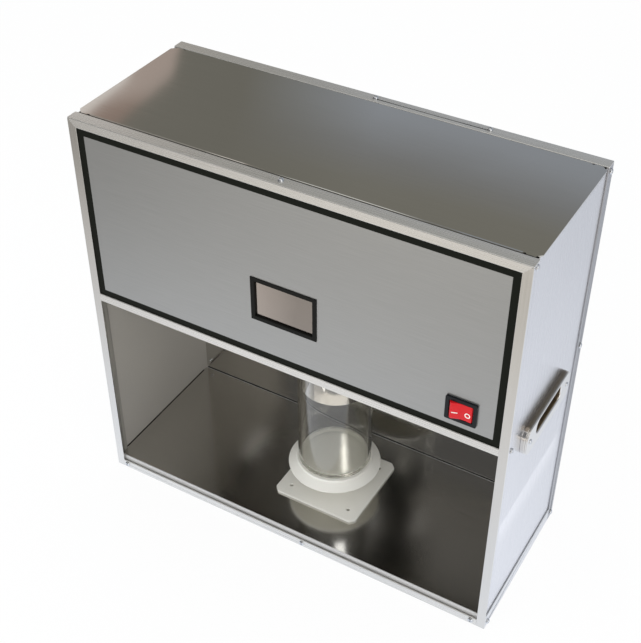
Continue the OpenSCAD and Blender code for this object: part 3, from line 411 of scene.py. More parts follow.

# %% [markdown]
# The finer the belt, the clearer the mirror. The top sheet was ground the finest, the lining of the bay
# less, and the angle trim the least, along its length. The rear trim gets painted shade: a greyer tone.

# %% Steel sheet and trim
TRIM = {"silk": 0.03, "depth_mm": 0.0003}
HALF_MIRROR = {"silk": 0.03, "depth_mm": 0.0004, "waver_mm": 0.05}
STEELS = (
    # a near mirror: the room shows in it with soft edges
    ("mirror_ground_stainless", "#CAC8C2", "#CDCBC5", 0.055, 0, {"silk": 0.01, "depth_mm": 0.0003}, ["top_cover"]),
    # half a mirror: shapes show in it as blurred streaks
    ("half_mirror_stainless", "#CBC9C4", "#D0CEC9", 0.15, 0, HALF_MIRROR, ["back_panel"]),
    # the same with painted shade: a darker tone for the shelf, which lies in shade
    ("shaded_half_mirror_stainless", "#84817C", "#8A8782", 0.22, 0, {"depth_mm": 0.001}, ["partition_shelf"]),
    # upright silk: even and pale, with a soft gleam down each post
    ("upright_trim_stainless", "#E4E2DD", "#E8E6E2", 0.22, 2, TRIM, POSTS[:2]),
    # level silk, a little matte: reads as nearly white against the dark bay
    ("level_trim_stainless", "#E4E2DD", "#E8E6E2", 0.28, 0, {**TRIM, "matte": 0.13},
     RAILS + ["shelf_brackets", "still_cradles", "still_straps"]),
    # grained front to back, so that it stays evenly pale from the side
    ("base_trim_stainless", "#E4E4E4", "#E8E8E9", 0.30, 1, {**TRIM, "matte": 0.1}, BASE_ANGLES),
    # painted shade: the same trim in a greyer tone, for the rear edge, which lies in shade
    ("rear_trim_stainless_painted_shade", "#B6B6B8", "#BCBCBE", 0.30, 2, TRIM, POSTS[2:]),
)
steels = {}
for name, tone, second_tone, rough, along, more, parts in STEELS:
    steels[name] = ground_stainless(name, tone, second_tone, rough, along, **more)
    dress(steels[name][0], parts)

# %% [markdown]
# Sheet is ground on its outer face only; the inner face keeps the duller, slightly warm finish of the mill.
# One material holds both: a face is an outer one where it lies beyond a plane close under the outside of
# the cabinet. The side sheets need this for the bay, which they line, and the trim for its turned-in edges.
# The inside of the right sheet is in shade and shows only in the mirror of the bay, so its tone is darker.
# The tray is the other way round: its folded lip is the duller part.

# %% Bright outside and dull inside
def dull_inside(material, steel, planes_mm, tone, rough, metal, outside_instead=False):
    """Blends to a second finish where no plane is exceeded, or where one is."""
    tree = material.node_tree
    place = add(tree, "ShaderNodeTexCoord")
    shifted = add(tree, "ShaderNodeVectorMath", {0: place.outputs["Object"], 1: (0, -SHIFT_Y_MM * MM, 0)})
    off_middle = add(tree, "ShaderNodeVectorMath", {0: shifted.outputs[0]}, operation="ABSOLUTE")
    axes = add(tree, "ShaderNodeSeparateXYZ", {0: off_middle.outputs[0]})
    outside = 0.0
    for axis, limit in planes_mm.items():
        beyond = add(tree, "ShaderNodeMath", {0: axes.outputs[axis], 1: limit * MM}, operation="GREATER_THAN")
        outside = add(tree, "ShaderNodeMath", {0: outside, 1: beyond.outputs[0]}, operation="MAXIMUM").outputs[0]
    if outside_instead:
        outside = add(tree, "ShaderNodeMath", {0: 1.0, 1: outside}, operation="SUBTRACT").outputs[0]
    ground = steel.inputs["Base Color"].links[0].from_socket
    silk = steel.inputs["Roughness"].links[0].from_socket
    colour = add(tree, "ShaderNodeMix", {0: outside, 6: linear(tone), 7: ground}, data_type="RGBA")
    gloss = add(tree, "ShaderNodeMix", {0: outside, 2: rough, 3: silk})
    metallic = add(tree, "ShaderNodeMix", {0: outside, 2: metal, 3: steel.inputs["Metallic"].default_value})
    tree.links.new(metallic.outputs[0], steel.inputs["Metallic"])
    tree.links.new(colour.outputs[2], steel.inputs["Base Color"])
    tree.links.new(gloss.outputs[0], steel.inputs["Roughness"])
    print(material.name, "is dull inside")


MILL_TRIM = ("#B4B0A8", 0.4, 0.4)      # tone, roughness, metallic of the trim's inner faces
for sheet, inner_tone in (("left_side_panel", "#D0CBC3"), ("right_side_panel", "#7E7B77")):
    # pale upright silk outside, soft grey inside
    side = ground_stainless("pale_" + sheet[:-6] + "_stainless", "#E3E3E6", "#E6E6E9", 0.26, 2, silk=0.02,
                            depth_mm=0.0006, matte=0.08)
    dull_inside(*side, {"X": 252.9}, inner_tone, 0.34, 0.4)
    dress(side[0], [sheet])
tray = ground_stainless("half_mirror_tray_stainless", "#CBC9C4", "#D0CEC9", 0.15, 0, **HALF_MIRROR)
dull_inside(*tray, {"Y": 95.4}, "#D6D5D3", 0.4, 0.3, outside_instead=True)
dress(tray[0], ["floor_tray"])
dull_inside(*steels["upright_trim_stainless"], {"X": 254.2, "Y": 98.8}, *MILL_TRIM)
dull_inside(*steels["level_trim_stainless"], {"Y": 98.8, "Z": 498.3}, *MILL_TRIM)

# %% [markdown]
# The front panel carries a film of brushed aluminium. It is finer and cooler in colour than the sheets,
# and a little matte from its clear coat. A noise stretched 45 mm along and 0.7 mm across stands for the
# brush marks, drawn coarser than real ones so that they show.

# %% Front panel film
FILM_GRAIN_MM = (45.0, 2.0, 0.7)


def brushed_film():
    material, tree = empty_material("brushed_aluminium_film")
    place = add(tree, "ShaderNodeTexCoord")
    fine = add(tree, "ShaderNodeMapping", {0: place.outputs["Object"], "Scale": [1000 / s for s in FILM_GRAIN_MM]})
    grain = add(tree, "ShaderNodeTexNoise", {"Vector": fine.outputs[0], "Scale": 1.0, "Detail": 4.0})
    colour = add(tree, "ShaderNodeMapRange", {0: grain.outputs[0], 1: 0.3, 2: 0.7})
    tone = add(tree, "ShaderNodeMix", {0: colour.outputs[0], 6: linear("#AFB0AF"), 7: linear("#B6B7B6")},
               data_type="RGBA")
    film = add(tree, "ShaderNodeBsdfPrincipled", {"Base Color": tone.outputs[2], "Metallic": 0.9, "Roughness": 0.33})
    add(tree, "ShaderNodeOutputMaterial", {0: film.outputs[0]})
    return material


# satin grey with hair-thin level streaks
dress(brushed_film(), ["panel_overlay", "control_panel"])


# %% [markdown]
# Moulded plastic, print and rubber differ mostly in gloss. One recipe makes them all: two close tones in
# broad clouds, a fine grit in the relief, and a gloss that varies a little. The black line round the film
# and the rubber round the window shine less than moulded plastic does, so their specular level is low:
# that keeps them black although they face a white floor.

# %% Moulded, printed and rubber surfaces
def moulded(name, tone, second_tone, rough, grit_mm=0.4, relief_mm=0.01, coat=0.0, shine=0.5):
    """A moulded or printed surface with a faint grit of its own."""
    material, tree = empty_material(name)
    place = add(tree, "ShaderNodeTexCoord")
    grit = add(tree, "ShaderNodeTexNoise",
               {"Vector": place.outputs["Object"], "Scale": 1000 / grit_mm, "Detail": 2.0})
    cloud = add(tree, "ShaderNodeTexNoise", {"Vector": place.outputs["Object"], "Scale": 25.0, "Detail": 3.0})
    colour = add(tree, "ShaderNodeMix", {0: cloud.outputs[0], 6: linear(tone), 7: linear(second_tone)},
                 data_type="RGBA")
    gloss = add(tree, "ShaderNodeMapRange", {0: cloud.outputs[0], 1: 0.3, 2: 0.7, 3: rough - 0.04, 4: rough + 0.04})
    relief = add(tree, "ShaderNodeBump", {"Strength": 0.3, "Distance": relief_mm * MM, "Height": grit.outputs[0]})
    surface = add(tree, "ShaderNodeBsdfPrincipled",
                  {"Base Color": colour.outputs[2], "Roughness": gloss.outputs[0],
                   "Normal": relief.outputs[0], "Coat Weight": coat, "Specular IOR Level": shine})
    add(tree, "ShaderNodeOutputMaterial", {0: surface.outputs[0]})
    return material


MOULDED = (
    # flat black ink: no highlight at all
    ("black_screen_print", "#11130E", "#171913", 0.5, {"shine": 0.08}, ["panel_border"]),
    # soft black, a shade lighter than the ink
    ("black_rubber", "#161614", "#1C1C1A", 0.6, {"shine": 0.1}, ["window_frame"]),
    # smooth black with a dim, blurred highlight
    ("gloss_black_nylon", "#15171A", "#1B1D20", 0.35, {"shine": 0.2}, ["switch_housing"]),
    # duller blacks of the fittings on the back
    ("black_nylon", "#171717", "#1E1E1E", 0.45, {}, ["cord_gland", "gland_nut", "fuse_holder"]),
    ("black_pvc_insulation", "#1A1A1A", "#222222", 0.5, {}, ["wires"]),
    # waxy white caps
    ("white_fluoroplastic", "#EAEAE6", "#F0F0EC", 0.4, {}, ["left_end_cap", "right_end_cap"]),
    # fired ceramic, dry and creamy
    ("white_steatite", "#E2DFD3", "#E9E6DC", 0.6, {}, ["heater_caps"]),
    # yellowish and smooth
    ("ivory_melamine", "#DCD4BA", "#E2DBC4", 0.4, {}, ["terminal_block"]),
)
for name, tone, second_tone, rough, more, parts in MOULDED:
    dress(moulded(name, tone, second_tone, rough, **more), parts)
# warm off-white with a soft, wide sheen
seat_plastic = moulded("off_white_moulded_abs", "#E3E1D9", "#E8E6DE", 0.5, grit_mm=0.8)

# %% [markdown]
# Small metal parts: zinc on the screws, brass on the hose nozzles, chrome on the handles. Plated and
# turned parts are smoother than sheet, so a little unevenness in gloss is enough, in spots of 3 mm.

# %% Plated and turned metal
def smooth_metal(name, tone, rough, uneven=0.03, spot_mm=3.0):
    material, tree = empty_material(name)
    place = add(tree, "ShaderNodeTexCoord")
    spots = add(tree, "ShaderNodeTexNoise",
                {"Vector": place.outputs["Object"], "Scale": 1000 / spot_mm, "Detail": 3.0})
    gloss = add(tree, "ShaderNodeMapRange",
                {0: spots.outputs[0], 1: 0.3, 2: 0.7, 3: max(rough - uneven, 0.02), 4: rough + uneven})
    metal = add(tree, "ShaderNodeBsdfPrincipled",
                {"Base Color": linear(tone), "Metallic": 1.0, "Roughness": gloss.outputs[0]})
    add(tree, "ShaderNodeOutputMaterial", {0: metal.outputs[0]})
    return material


# a hard mirror, black and white by turns
chrome = smooth_metal("chrome_plate", "#E4E2DE", 0.06, uneven=0.02)
# a mirror too, a little warmer and darker
polished_steel = smooth_metal("polished_stainless", "#CFCDC9", 0.06, uneven=0.02)
METALS = (
    ("bright_zinc_plate", "#DDDFE2", 0.16, SCREWS),      # small bluish sparks
    ("turned_brass", "#C9A24B", 0.25,                    # warm yellow with broad highlights
     ["hose_nozzles", "nozzle_nuts", "heater_studs", "terminal_screws", "earth_stud"]),
    ("rolled_copper", "#C77F58", 0.3, ["heater_links"]),      # soft reddish sheen
    ("tinned_brass", "#CFCDC6", 0.3, ["switch_tabs"]),        # plain pale grey
    ("drawn_stainless_tube", "#BDBDBC", 0.22, ["cooling_pipe", "feed_pipe", "overflow_pipe"]),      # a long gleam
)
for name, tone, rough, parts in METALS:
    dress(smooth_metal(name, tone, rough), parts)

# %% [markdown]
# Glass needs its true wall thickness, because the bright and yellowish bands along its sides are the wall
# seen edge on: light that runs a long way inside the wall loses a little of its blue. Volume absorption
# does that. Shadow rays pass straight through, since a path tracer would otherwise need very many samples
# to light what stands behind the glass.

# %% Glass
def glass(name, tint, rough=0.0, ior=1.5, body_tint=None, density=0.0):
    material, tree = empty_material(name)
    place = add(tree, "ShaderNodeTexCoord")
    wavy = add(tree, "ShaderNodeTexNoise", {"Vector": place.outputs["Object"], "Scale": 22.0, "Detail": 1.0})
    relief = add(tree, "ShaderNodeBump", {"Strength": 0.2, "Distance": 0.15 * MM, "Height": wavy.outputs[0]})
    body = add(tree, "ShaderNodeBsdfPrincipled",
               {"Base Color": linear(tint), "Roughness": rough, "IOR": ior, "Transmission Weight": 1.0,
                "Normal": relief.outputs[0]})
    through = add(tree, "ShaderNodeBsdfTransparent", {"Color": linear(tint)})
    path = add(tree, "ShaderNodeLightPath")
    both = add(tree, "ShaderNodeMixShader",
               {0: path.outputs["Is Shadow Ray"], 1: body.outputs[0], 2: through.outputs[0]})
    sink = {0: both.outputs[0]}
    if body_tint:
        soak = add(tree, "ShaderNodeVolumeAbsorption", {"Color": linear(body_tint), "Density": density})
        sink["Volume"] = soak.outputs[0]
    add(tree, "ShaderNodeOutputMaterial", sink)
    return material


# clear, with a yellowish edge where the wall is seen through its length
vessel_glass = glass("borosilicate_glass", "#FFFFFF", ior=1.47, body_tint="#E6E29A", density=9.0)
# clear, and cloudy where the heaters are
dress(glass("fused_quartz", "#FBFBFB"), ["quartz_still"])
dress(glass("milky_quartz", "#F4F0EA", rough=0.35), ["heater_rods"])


# %% [markdown]
# The window is a pane with a thin metal coat, like a pair of sunglasses: it mirrors the floor in front of
# the cabinet with a warm cast and lets only a little of the dark inside through. A mostly metallic
# surface with a small transparent share does both.

# %% Coated window pane
def coated_pane():
    material, tree = empty_material("metal_coated_window_glass")
    place = add(tree, "ShaderNodeTexCoord")
    cloud = add(tree, "ShaderNodeTexNoise", {"Vector": place.outputs["Object"], "Scale": 30.0, "Detail": 2.0})
    axes = add(tree, "ShaderNodeSeparateXYZ", {0: place.outputs["Object"]})
    # painted reflection: the tone fades from lighter at the left to darker at the right, over a cloudy tone that
    # varies at random
    rightward = add(tree, "ShaderNodeMapRange", {0: axes.outputs["X"], 1: -0.03, 2: 0.02})
    cloud_and_painted_fade = add(tree, "ShaderNodeMath", {0: cloud.outputs[0], 1: 0.25, 2: rightward.outputs[0]},
                  operation="MULTIPLY_ADD")
    tone = add(tree, "ShaderNodeMix", {0: cloud_and_painted_fade.outputs[0], 6: linear("#C2B8B0"), 7: linear("#A39B94")},
               data_type="RGBA")
    coat = add(tree, "ShaderNodeBsdfPrincipled", {"Base Color": tone.outputs[2], "Metallic": 1.0, "Roughness": 0.12})
    clear = add(tree, "ShaderNodeBsdfTransparent", {"Color": linear("#D8D2C8")})
    both = add(tree, "ShaderNodeMixShader", {0: 0.12, 1: coat.outputs[0], 2: clear.outputs[0]})
    add(tree, "ShaderNodeOutputMaterial", {0: both.outputs[0]})
    return material


dress(coated_pane(), ["window_pane"])

# %% [markdown]
# Some pieces are rounder than the CAD solid needs to be: the blown vessel, the spun collar in it and the
# pressed handles. All of them can be described as a stack of rings, where each ring is joined to the next.
# A ring of one point closes an end. That is how a lathe and a loft work, and one function serves both.

# %% Rings to a mesh
def skin(rings, closed=False):
    """Joins rings of equal length, or of one point, into faces; closed also joins the last to the first."""
    points, rows, faces = [], [], []
    for ring in rings:
        rows.append([len(points) + k for k in range(len(ring))])
        points += ring
    steps = max(len(row) for row in rows)
    for low, high in list(zip(rows, rows[1:])) + ([(rows[-1], rows[0])] if closed else []):
        for k in range(steps):
            quad = [low[k % len(low)], low[(k + 1) % len(low)], high[(k + 1) % len(high)], high[k % len(high)]]
            faces.append(list(dict.fromkeys(quad)))
    return points, faces


def new_piece(name, shape, material, body, stands_for):
    points, faces = shape
    mesh = bpy.data.meshes.new(name)
    mesh.from_pydata([tuple(c * MM for c in point) for point in points], [], faces)
    for face in mesh.polygons:
        face.use_smooth = True
    mesh.materials.append(material)
    piece = bpy.data.objects.new(name, mesh)
    bpy.context.scene.collection.objects.link(piece)
    for node in stands_for:
        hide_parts(node)
    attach(piece, body)
    print(name, len(mesh.vertices), "points,", len(mesh.polygons), "faces, rides on", body)
    return piece


def lathe(profile, middle, steps=160):
    """Turns a profile of (radius, height) pairs round an upright axis."""
    rings = []
    for radius, height in profile:
        turns = [2 * math.pi * k / steps for k in range(steps if radius else 1)]
        rings.append([(middle[0] + radius * math.cos(a), middle[1] + radius * math.sin(a), height) for a in turns])
    return rings


# %% [markdown]
# The receiving vessel is a straight-sided beaker that was turned soft on a lathe: its foot is pushed up a
# little so that it stands on a ring, the corner inside is round, and the rim was melted to a bead. The
# long wall gets one extra ring near each end, which keeps its shading straight.

# %% Receiving vessel
RECEIVER_AXIS = (5.0, 1.5 + SHIFT_Y_MM)
STANDS_ON = 60.5
RIM = 217.5
OUTER, WALL = 44.5, 3.6


def vessel_profile():
    foot = [(0, 2.2), (22, 2.0), (34, 1.1), (37.5, 0.3), (39.5, 0.0), (41.2, 0.2), (42.8, 1.0), (43.9, 2.3),
            (44.4, 3.8), (OUTER, 5.5), (OUTER, 7.0)]
    outside = [(r, STANDS_ON + z) for r, z in foot]
    bead = [(OUTER - WALL / 2 + WALL / 2 * math.cos(a), RIM - WALL / 2 + WALL / 2 * math.sin(a))
            for a in (math.pi * k / 8 for k in range(9))]
    inside = [(40.9, 9.5), (40.9, 8.0), (40.6, 6.6), (39.8, 5.4), (38.5, 4.7), (36.5, 4.4), (28, 4.5), (14, 4.8),
              (0, 5.0)]
    return (outside + [(OUTER, RIM - WALL / 2 - 2)] + bead + [(OUTER - WALL, RIM - WALL / 2 - 2)]
            + [(r, STANDS_ON + z) for r, z in inside])


new_piece("blown_glass_vessel", skin(lathe(vessel_profile(), RECEIVER_AXIS)), vessel_glass, "vessel",
          ["receiving_vessel"])

# %% [markdown]
# The drip skirt hangs from the shelf into the vessel. It is spun from polished sheet: a neck, a flange that
# rests on the shelf, a straight collar, and a bell that opens to a plain trimmed edge. On a mirror-bright
# cylinder the room shrinks to thin upright stripes, and on the bell they fan out into a wedge. All it needs
# for that is a true round form and a low roughness.

# %% Drip skirt
def skirt_profile():
    lip = [(37.85, 177.8), (37.95, 177.6), (38.15, 177.5), (38.75, 177.5), (38.95, 177.6), (38.93, 177.8),
           (38.8, 178.2), (38.2, 179.8)]
    bell = [(36.0, 186.5), (33.4, 193.0), (31.3, 198.2), (29.7, 202.0), (28.6, 204.8), (28.15, 207.0), (28.0, 210.0)]
    flange = [(28.0, 274.5), (28.3, 276.0), (29.2, 276.68), (31.0, 276.72), (49.6, 276.72), (50.0, 277.2),
              (49.6, 277.7), (48.0, 277.7), (35.5, 277.7), (34.0, 277.9), (33.2, 278.6), (33.0, 279.8)]
    neck = [(33.0, 281.0), (33.0, 294.0), (32.7, 295.8), (31.4, 296.7), (30.0, 296.7), (9.2, 296.7),
            (8.5, 296.2), (9.2, 295.7), (30.0, 295.7), (31.4, 295.3), (32.0, 294.0), (32.0, 279.4),
            (31.6, 278.3), (30.4, 277.72), (28.6, 277.5), (27.4, 276.8), (27.0, 275.0)]
    inside = [(radius - 1.0, height - 0.35) for radius, height in bell[::-1]]
    return lip + bell + flange + neck + inside + [(37.2, 179.5), (37.75, 178.1)]


new_piece("spun_drip_skirt", skin(lathe(skirt_profile(), RECEIVER_AXIS), closed=True), polished_steel, "cabinet",
          ["drip_skirt"])

# %% [markdown]
# The seat is moulded in two parts that are welded together: a square plate with clipped corners, which is
# screwed or just laid on the floor of the bay, and a saucer on a short stem. The saucer is turned on the
# lathe like the glass. The plate is an outline with four holes, filled with faces and pushed down to its
# thickness. The plate is softened by a small bevel, since moulded edges are never sharp.

# %% Vessel seat
PLATE_TOP = 19.0


def saucer_profile():
    stem = [(0, 18.9), (19.0, 18.9), (20.0, 19.3), (20.0, 38.0), (20.4, 41.5), (22.0, 44.0), (26.0, 45.6),
            (34.0, 46.6), (46.0, 48.0), (53.6, 49.0)]
    edge = [(55.4, 49.5), (56.0, 50.1), (56.2, 50.7), (55.9, 51.2), (55.2, 51.6), (54.0, 52.5)]
    pad = [(47.9, 57.5), (46.9, 58.2), (46.45, 58.7), (46.3, 59.3), (46.25, 59.9), (46.0, 60.3), (45.5, 60.45),
           (44.0, 60.45), (20.0, 60.45), (0, 60.45)]
    return stem + edge + pad


def plate_shape(width=111.5, pitch=79.4, corner=6.0, hole=2.2, thick=3.0, centre=(6.0, 3.0 + SHIFT_Y_MM)):
    outline = []
    for turn in range(4):
        c, s = ((1, 0), (0, 1), (-1, 0), (0, -1))[turn]
        for u, v in ((width / 2, -width / 2 + corner), (width / 2, width / 2 - corner)):
            outline.append((centre[0] + u * c - v * s, centre[1] + u * s + v * c))
    holes = [[(centre[0] + sx * pitch / 2 + hole * math.cos(math.pi * k / 8),
               centre[1] + sy * pitch / 2 + hole * math.sin(math.pi * k / 8)) for k in range(16)]
             for sx in (-1, 1) for sy in (-1, 1)]
    drawing = bmesh.new()
    for loop in [outline] + holes:
        corners = [drawing.verts.new((x, y, PLATE_TOP)) for x, y in loop]
        for k in range(len(corners)):
            drawing.edges.new((corners[k], corners[(k + 1) % len(corners)]))
    bmesh.ops.triangle_fill(drawing, use_beauty=True, edges=drawing.edges[:])
    pushed = bmesh.ops.extrude_face_region(drawing, geom=drawing.faces[:])
    bmesh.ops.translate(drawing, vec=(0, 0, -thick),
                        verts=[part for part in pushed["geom"] if isinstance(part, bmesh.types.BMVert)])
    bmesh.ops.recalc_face_normals(drawing, faces=drawing.faces[:])
    drawing.verts.index_update()
    shape = [tuple(v.co) for v in drawing.verts], [[v.index for v in face.verts] for face in drawing.faces]
    drawing.free()
    return shape


plate = new_piece("clipped_corner_plate", plate_shape(), seat_plastic, "seat", ["vessel_seat"])
modify(plate, "BEVEL", width=0.5 * MM, segments=2, limit_method="ANGLE")
modify(plate, "WEIGHTED_NORMAL", weight=100)
new_piece("turned_saucer", skin(lathe(saucer_profile(), RECEIVER_AXIS, 128)), seat_plastic, "seat",
          ["vessel_seat"])

# %% [markdown]
# Where the top sheet meets the front rail, the sheet is folded down over a small radius, and a joint
# about a millimetre wide stays open between the two. Its shade is painted: a black strip fills it. The fold
# shines as a thin line, because it turns towards the bright front. Both are long bars of one profile, so
# the same rings serve again: an outline of (depth, height) pairs at each end, closed by a point.

# %% Front fold of the top sheet, and the joint before it
def long_bar(outline, start, end, middle, along_depth=False):
    def spot(run, across, height):
        return (across, run + SHIFT_Y_MM, height) if along_depth else (run, across + SHIFT_Y_MM, height)
    rings = [[spot(run, *point) for point in outline] for run in (start, end)]
    return skin([[spot(start, *middle)], *rings, [spot(end, *middle)]])


fold = [(-85.15 + 1.9 * (1 - math.cos(a)), 498.05 + 1.9 * math.sin(a)) for a in (math.pi * k / 16 for k in range(9))]
fold += [(-83.2, 498.6), (-84.2, 497.6), (-85.15, 496.8)]
FOLD_HALF = 237.5
new_piece("top_sheet_front_fold", long_bar(fold, -FOLD_HALF, FOLD_HALF, (-84.4, 498.2)),
          steels["mirror_ground_stainless"][0], "cabinet", [])
joint = [(-86.0, 498.2), (-85.8, 498.75), (-85.5, 498.9), (-85.3, 498.75), (-85.15, 498.2), (-85.15, 496.8),
         (-86.0, 496.8)]
# matte and black: painted shade, the shadow of the open joint drawn as a plain dark line
painted_shade_black = moulded("black_painted_shade", "#0C0C0B", "#121211", 0.6, shine=0.05)
new_piece("joint_painted_shade", long_bar(joint, -FOLD_HALF, FOLD_HALF, (-85.6, 497.5)), painted_shade_black, "cabinet",
          [])

# %% [markdown]
# Where the tray meets its walls, a thin bead of the same black lies in the corner: painted shade, which
# draws the fine dark line along the foot of the left wall and of the back wall.

# %% Painted shade beads round the tray
BEAD = ((0.0, 16.02), (1.0, 16.02), (0.75, 16.4), (0.3, 16.8), (0.0, 17.0))      # (from the wall, height)
for name, wall, inward in (("left_floor_painted_shade", -252.25, 1), ("right_floor_painted_shade", 252.25, -1)):
    bead = [(wall + inward * out, height) for out, height in BEAD]
    new_piece(name, long_bar(bead, -84.5, 88.5, (wall + inward * 0.3, 16.3), along_depth=True), painted_shade_black,
              "cabinet", [])
bead = [(97.25 - out, height) for out, height in BEAD]
new_piece("back_floor_painted_shade", long_bar(bead, -251.0, 251.0, (96.9, 16.3)), painted_shade_black, "cabinet",
          [])

# %% [markdown]
# A carrying handle is a shallow cup pressed into the side, with a chromed plate round it. The plate's edge
# is stepped: a broad top, a narrow groove and one thin bead next to the face. The face is narrow and flat,
# and the mouth of the cup is rolled over. Inside, the cup has only the dull nickel that lies under chrome.
# The top of the plate gets a darker, brownish chrome: painted reflection of the dark room. Each ring is a
# rounded rectangle that stands upright on the side of the cabinet; from the back of the cup to the plate,
# over the bead, across the face and down to the bottom of the cup.

# %% Handles
SIDE_SKIN, FACE = 253.5, 260.8
PLATE = (118.0, 35.0, 12.0)      # width, height, corner radius
FINGERS = (67.0, 18.0, 7.0)
PLATE_HEIGHT, FINGERS_HEIGHT = 255.0, 259.0
HANDLE_DEPTH_PLACE = -3.6 + SHIFT_Y_MM
# the plate's edge as (distance from the middle, inset): a broad top, a narrow groove, a bead, the face
PLATE_EDGE = ((253.5, 0.35), (253.9, 0.12), (254.6, 0.04), (255.8, 0.0), (257.0, 0.02), (257.7, 0.1),
              (258.05, 0.3), (258.2, 0.75), (258.35, 0.75), (258.5, 0.35), (258.8, 0.18), (259.2, 0.12),
              (259.55, 0.2), (259.75, 0.45), (259.9, 0.8), (260.05, 0.75), (260.2, 0.6), (260.5, 0.6),
              (260.75, 0.9), (FACE, 1.4), (FACE, 1.9))


CORNER_STEPS = 8


def upright_ring(x, form, inset, height, side):
    """A rounded rectangle at one distance from the middle, drawn inwards by an inset."""
    half_w, half_h, corner = form[0] / 2 - inset, form[1] / 2 - inset, max(form[2] - inset, 0.5)
    ring = []
    for quarter, (sy, sz) in enumerate(((1, 1), (-1, 1), (-1, -1), (1, -1))):
        for k in range(CORNER_STEPS + 1):
            a = math.pi / 2 * (quarter + k / CORNER_STEPS)
            ring.append((side * x, HANDLE_DEPTH_PLACE + sy * (half_w - corner) + corner * math.cos(a),
                         height + sz * (half_h - corner) + corner * math.sin(a)))
    return ring[::side]


def handle_rings(side):
    cup = (FINGERS[0] + 2.4, FINGERS[1] + 2.4, FINGERS[2] + 1.2)
    shell = ((236.8, 3.0), (237.2, 1.0), (238.2, 0.0), (253.0, 0.0))
    stations = [(x, cup, inset, FINGERS_HEIGHT) for x, inset in shell]
    stations.append((SIDE_SKIN, PLATE, 1.2, PLATE_HEIGHT))
    stations += [(x, PLATE, inset, PLATE_HEIGHT) for x, inset in PLATE_EDGE]
    mouth = ((FACE, -2.0), (FACE - 0.02, -1.5), (260.6, -0.9), (260.2, -0.4), (259.4, -0.1), (258.2, 0.0),
             (241.0, 0.3), (239.4, 0.9), (238.4, 2.0), (238.0, 3.4))
    stations += [(x, FINGERS, inset, FINGERS_HEIGHT) for x, inset in mouth]
    rings = [upright_ring(x, form, inset, height, side) for x, form, inset, height in stations]
    back = (side * 236.8, HANDLE_DEPTH_PLACE, FINGERS_HEIGHT)
    bottom = (side * 238.0, HANDLE_DEPTH_PLACE, FINGERS_HEIGHT)
    return [[back]] + rings + [[bottom]]


CUP_STARTS = len(handle_rings(1)) - 7
EDGE_STARTS, EDGE_ENDS = 6, 20
# brownish and blurred: the cup reads as a dark, warm hollow
dull_nickel = smooth_metal("dull_nickel_plate", "#A5967F", 0.36)
# still a mirror, but darker and brownish: painted reflection of the dark room
painted_reflection_chrome = smooth_metal("chrome_with_painted_dark_reflection", "#968C80", 0.07)
for side, name in ((1, "right_handle"), (-1, "left_handle")):
    handle = new_piece("pressed_" + name, skin(handle_rings(side)), chrome, "cabinet", [name])
    handle.data.materials.append(dull_nickel)
    handle.data.materials.append(painted_reflection_chrome)
    for number, face in enumerate(handle.data.polygons):
        row = number // (4 * (CORNER_STEPS + 1))
        # the upward faces of the plate's edge take the darker chrome: painted reflection
        painted_reflection_face = EDGE_STARTS <= row < EDGE_ENDS and face.normal.z > 0.8
        face.material_index = 1 if row >= CUP_STARTS else 2 if painted_reflection_face else 0
    modify(handle, "WEIGHTED_NORMAL", weight=80)

# %% [markdown]
# The switch rocker is one block of red polycarbonate: two flats that meet in a shallow valley. It turns in
# its housing on an upright pin. The block is drawn as its plan outline, repeated at four heights; the
# lowest and highest are pulled back at the front, which gives the sloped edge along the top and bottom.

# %% Switch rocker
PIN = (202.0, -97.0 + SHIFT_Y_MM, 307.0)
REST_TILT = math.radians(9)
ROCKER_HALF_HEIGHT = 10.2
VALLEY, CROWN, CORNER = -4.6, -6.5, 10.91
ROCKER_SLOPE, ROCKER_SET_BACK = 2.6, 1.1


def on_rocker(x, y, z):
    """From the rocker's own straight frame to its place at rest, in millimetres."""
    c, s = math.cos(REST_TILT), math.sin(REST_TILT)
    return (PIN[0] + x * c - y * s, PIN[1] + x * s + y * c, PIN[2] + z)


def rocker_rings():
    half = [(0.0, VALLEY), (3.5, VALLEY - 0.55), (7.0, VALLEY - 1.15), (9.6, CROWN + 0.2),
            (CORNER - 0.5, CROWN + 0.02), (CORNER + 0.15, CROWN + 0.45), (11.6, -5.1), (12.3, -3.2),
            (12.6, -1.5), (12.65, 0.0), (12.4, 2.6), (11.2, 5.6)]
    plan = half + [(5.0, 8.4), (0.0, 8.5), (-5.0, 8.4)] + [(-x, y) for x, y in half[:0:-1]]
    rings = []
    for z, back in ((-ROCKER_HALF_HEIGHT, ROCKER_SET_BACK), (-ROCKER_HALF_HEIGHT + ROCKER_SLOPE, 0.0),
                    (ROCKER_HALF_HEIGHT - ROCKER_SLOPE, 0.0), (ROCKER_HALF_HEIGHT, ROCKER_SET_BACK)):
        rings.append([on_rocker(x, y + (back if y < 0 else 0), z) for x, y in plan])
    return [[on_rocker(0, 2, -ROCKER_HALF_HEIGHT)]] + rings + [[on_rocker(0, 2, ROCKER_HALF_HEIGHT)]]


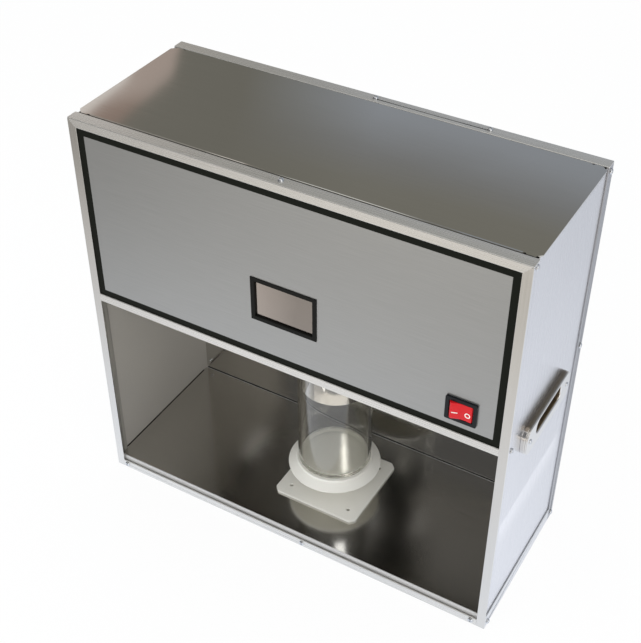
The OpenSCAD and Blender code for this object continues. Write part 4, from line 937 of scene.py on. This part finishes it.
# clear strong red with a crisp highlight
red_plastic = moulded("red_polycarbonate", "#C6131C", "#CE1821", 0.22, shine=0.3, coat=0.15)
rocker = new_piece("red_rocker", skin(rocker_rings()), red_plastic, "rocker", ["switch_rocker"])
modify(rocker, "BEVEL", width=0.35 * MM, segments=2, limit_method="ANGLE")
modify(rocker, "WEIGHTED_NORMAL", weight=80)

# %% [markdown]
# A line and a ring are the usual marks for on and off. They are filled with white paint, and a thin raised
# pad of 0.12 mm for each stands just proud of its flat, so that it is neither lost in the red surface nor
# floats above it. The line lies on the left flat, the ring on the right one.

# %% Switch marks
FLAT_LEAN = math.atan2(VALLEY - CROWN, CORNER)


def on_flat(side, along, height, lift):
    """A point on one flat of the rocker: along it from the valley, up it, and out of it."""
    x = side * (along * math.cos(FLAT_LEAN) - lift * math.sin(FLAT_LEAN))
    y = VALLEY - along * math.sin(FLAT_LEAN) - lift * math.cos(FLAT_LEAN)
    return on_rocker(x, y, height)


def mark_rings(side, inner, outer, steps):
    """Four rings, outer and inner outline at the foot and the top of the pad; outlines give (along, height)."""
    rings = []
    for outline, lift in ((outer, -0.1), (outer, 0.12), (inner, 0.12), (inner, -0.1)):
        rings.append([on_flat(side, *outline(2 * math.pi * k / steps), lift) for k in range(steps)][::side])
    return rings


MARK_HEIGHT = -1.3


def oval(middle, half_along, half_up, squareness=1.0):
    """An outline by its angle; squareness above 1 flattens its ends towards a bar."""
    def spot(a):
        reach, rise = (max(-1, min(1, squareness * part)) for part in (math.cos(a), math.sin(a)))
        return middle + half_along * reach, MARK_HEIGHT + half_up * rise
    return spot


# a creamy white that stays dull beside the red
white_paint = moulded("white_filled_paint", "#F2ECE4", "#F8F3EC", 0.45)
ring = mark_rings(1, oval(6.9, 1.95, 1.95), oval(6.9, 3.05, 3.05), 40)
new_piece("off_ring_mark", skin(ring, closed=True), white_paint, "rocker", [])
line = mark_rings(-1, oval(6.4, 0.05, 0.01), oval(6.4, 3.1, 0.55, 1.6), 40)
new_piece("on_line_mark", skin(line, closed=True), white_paint, "rocker", [])
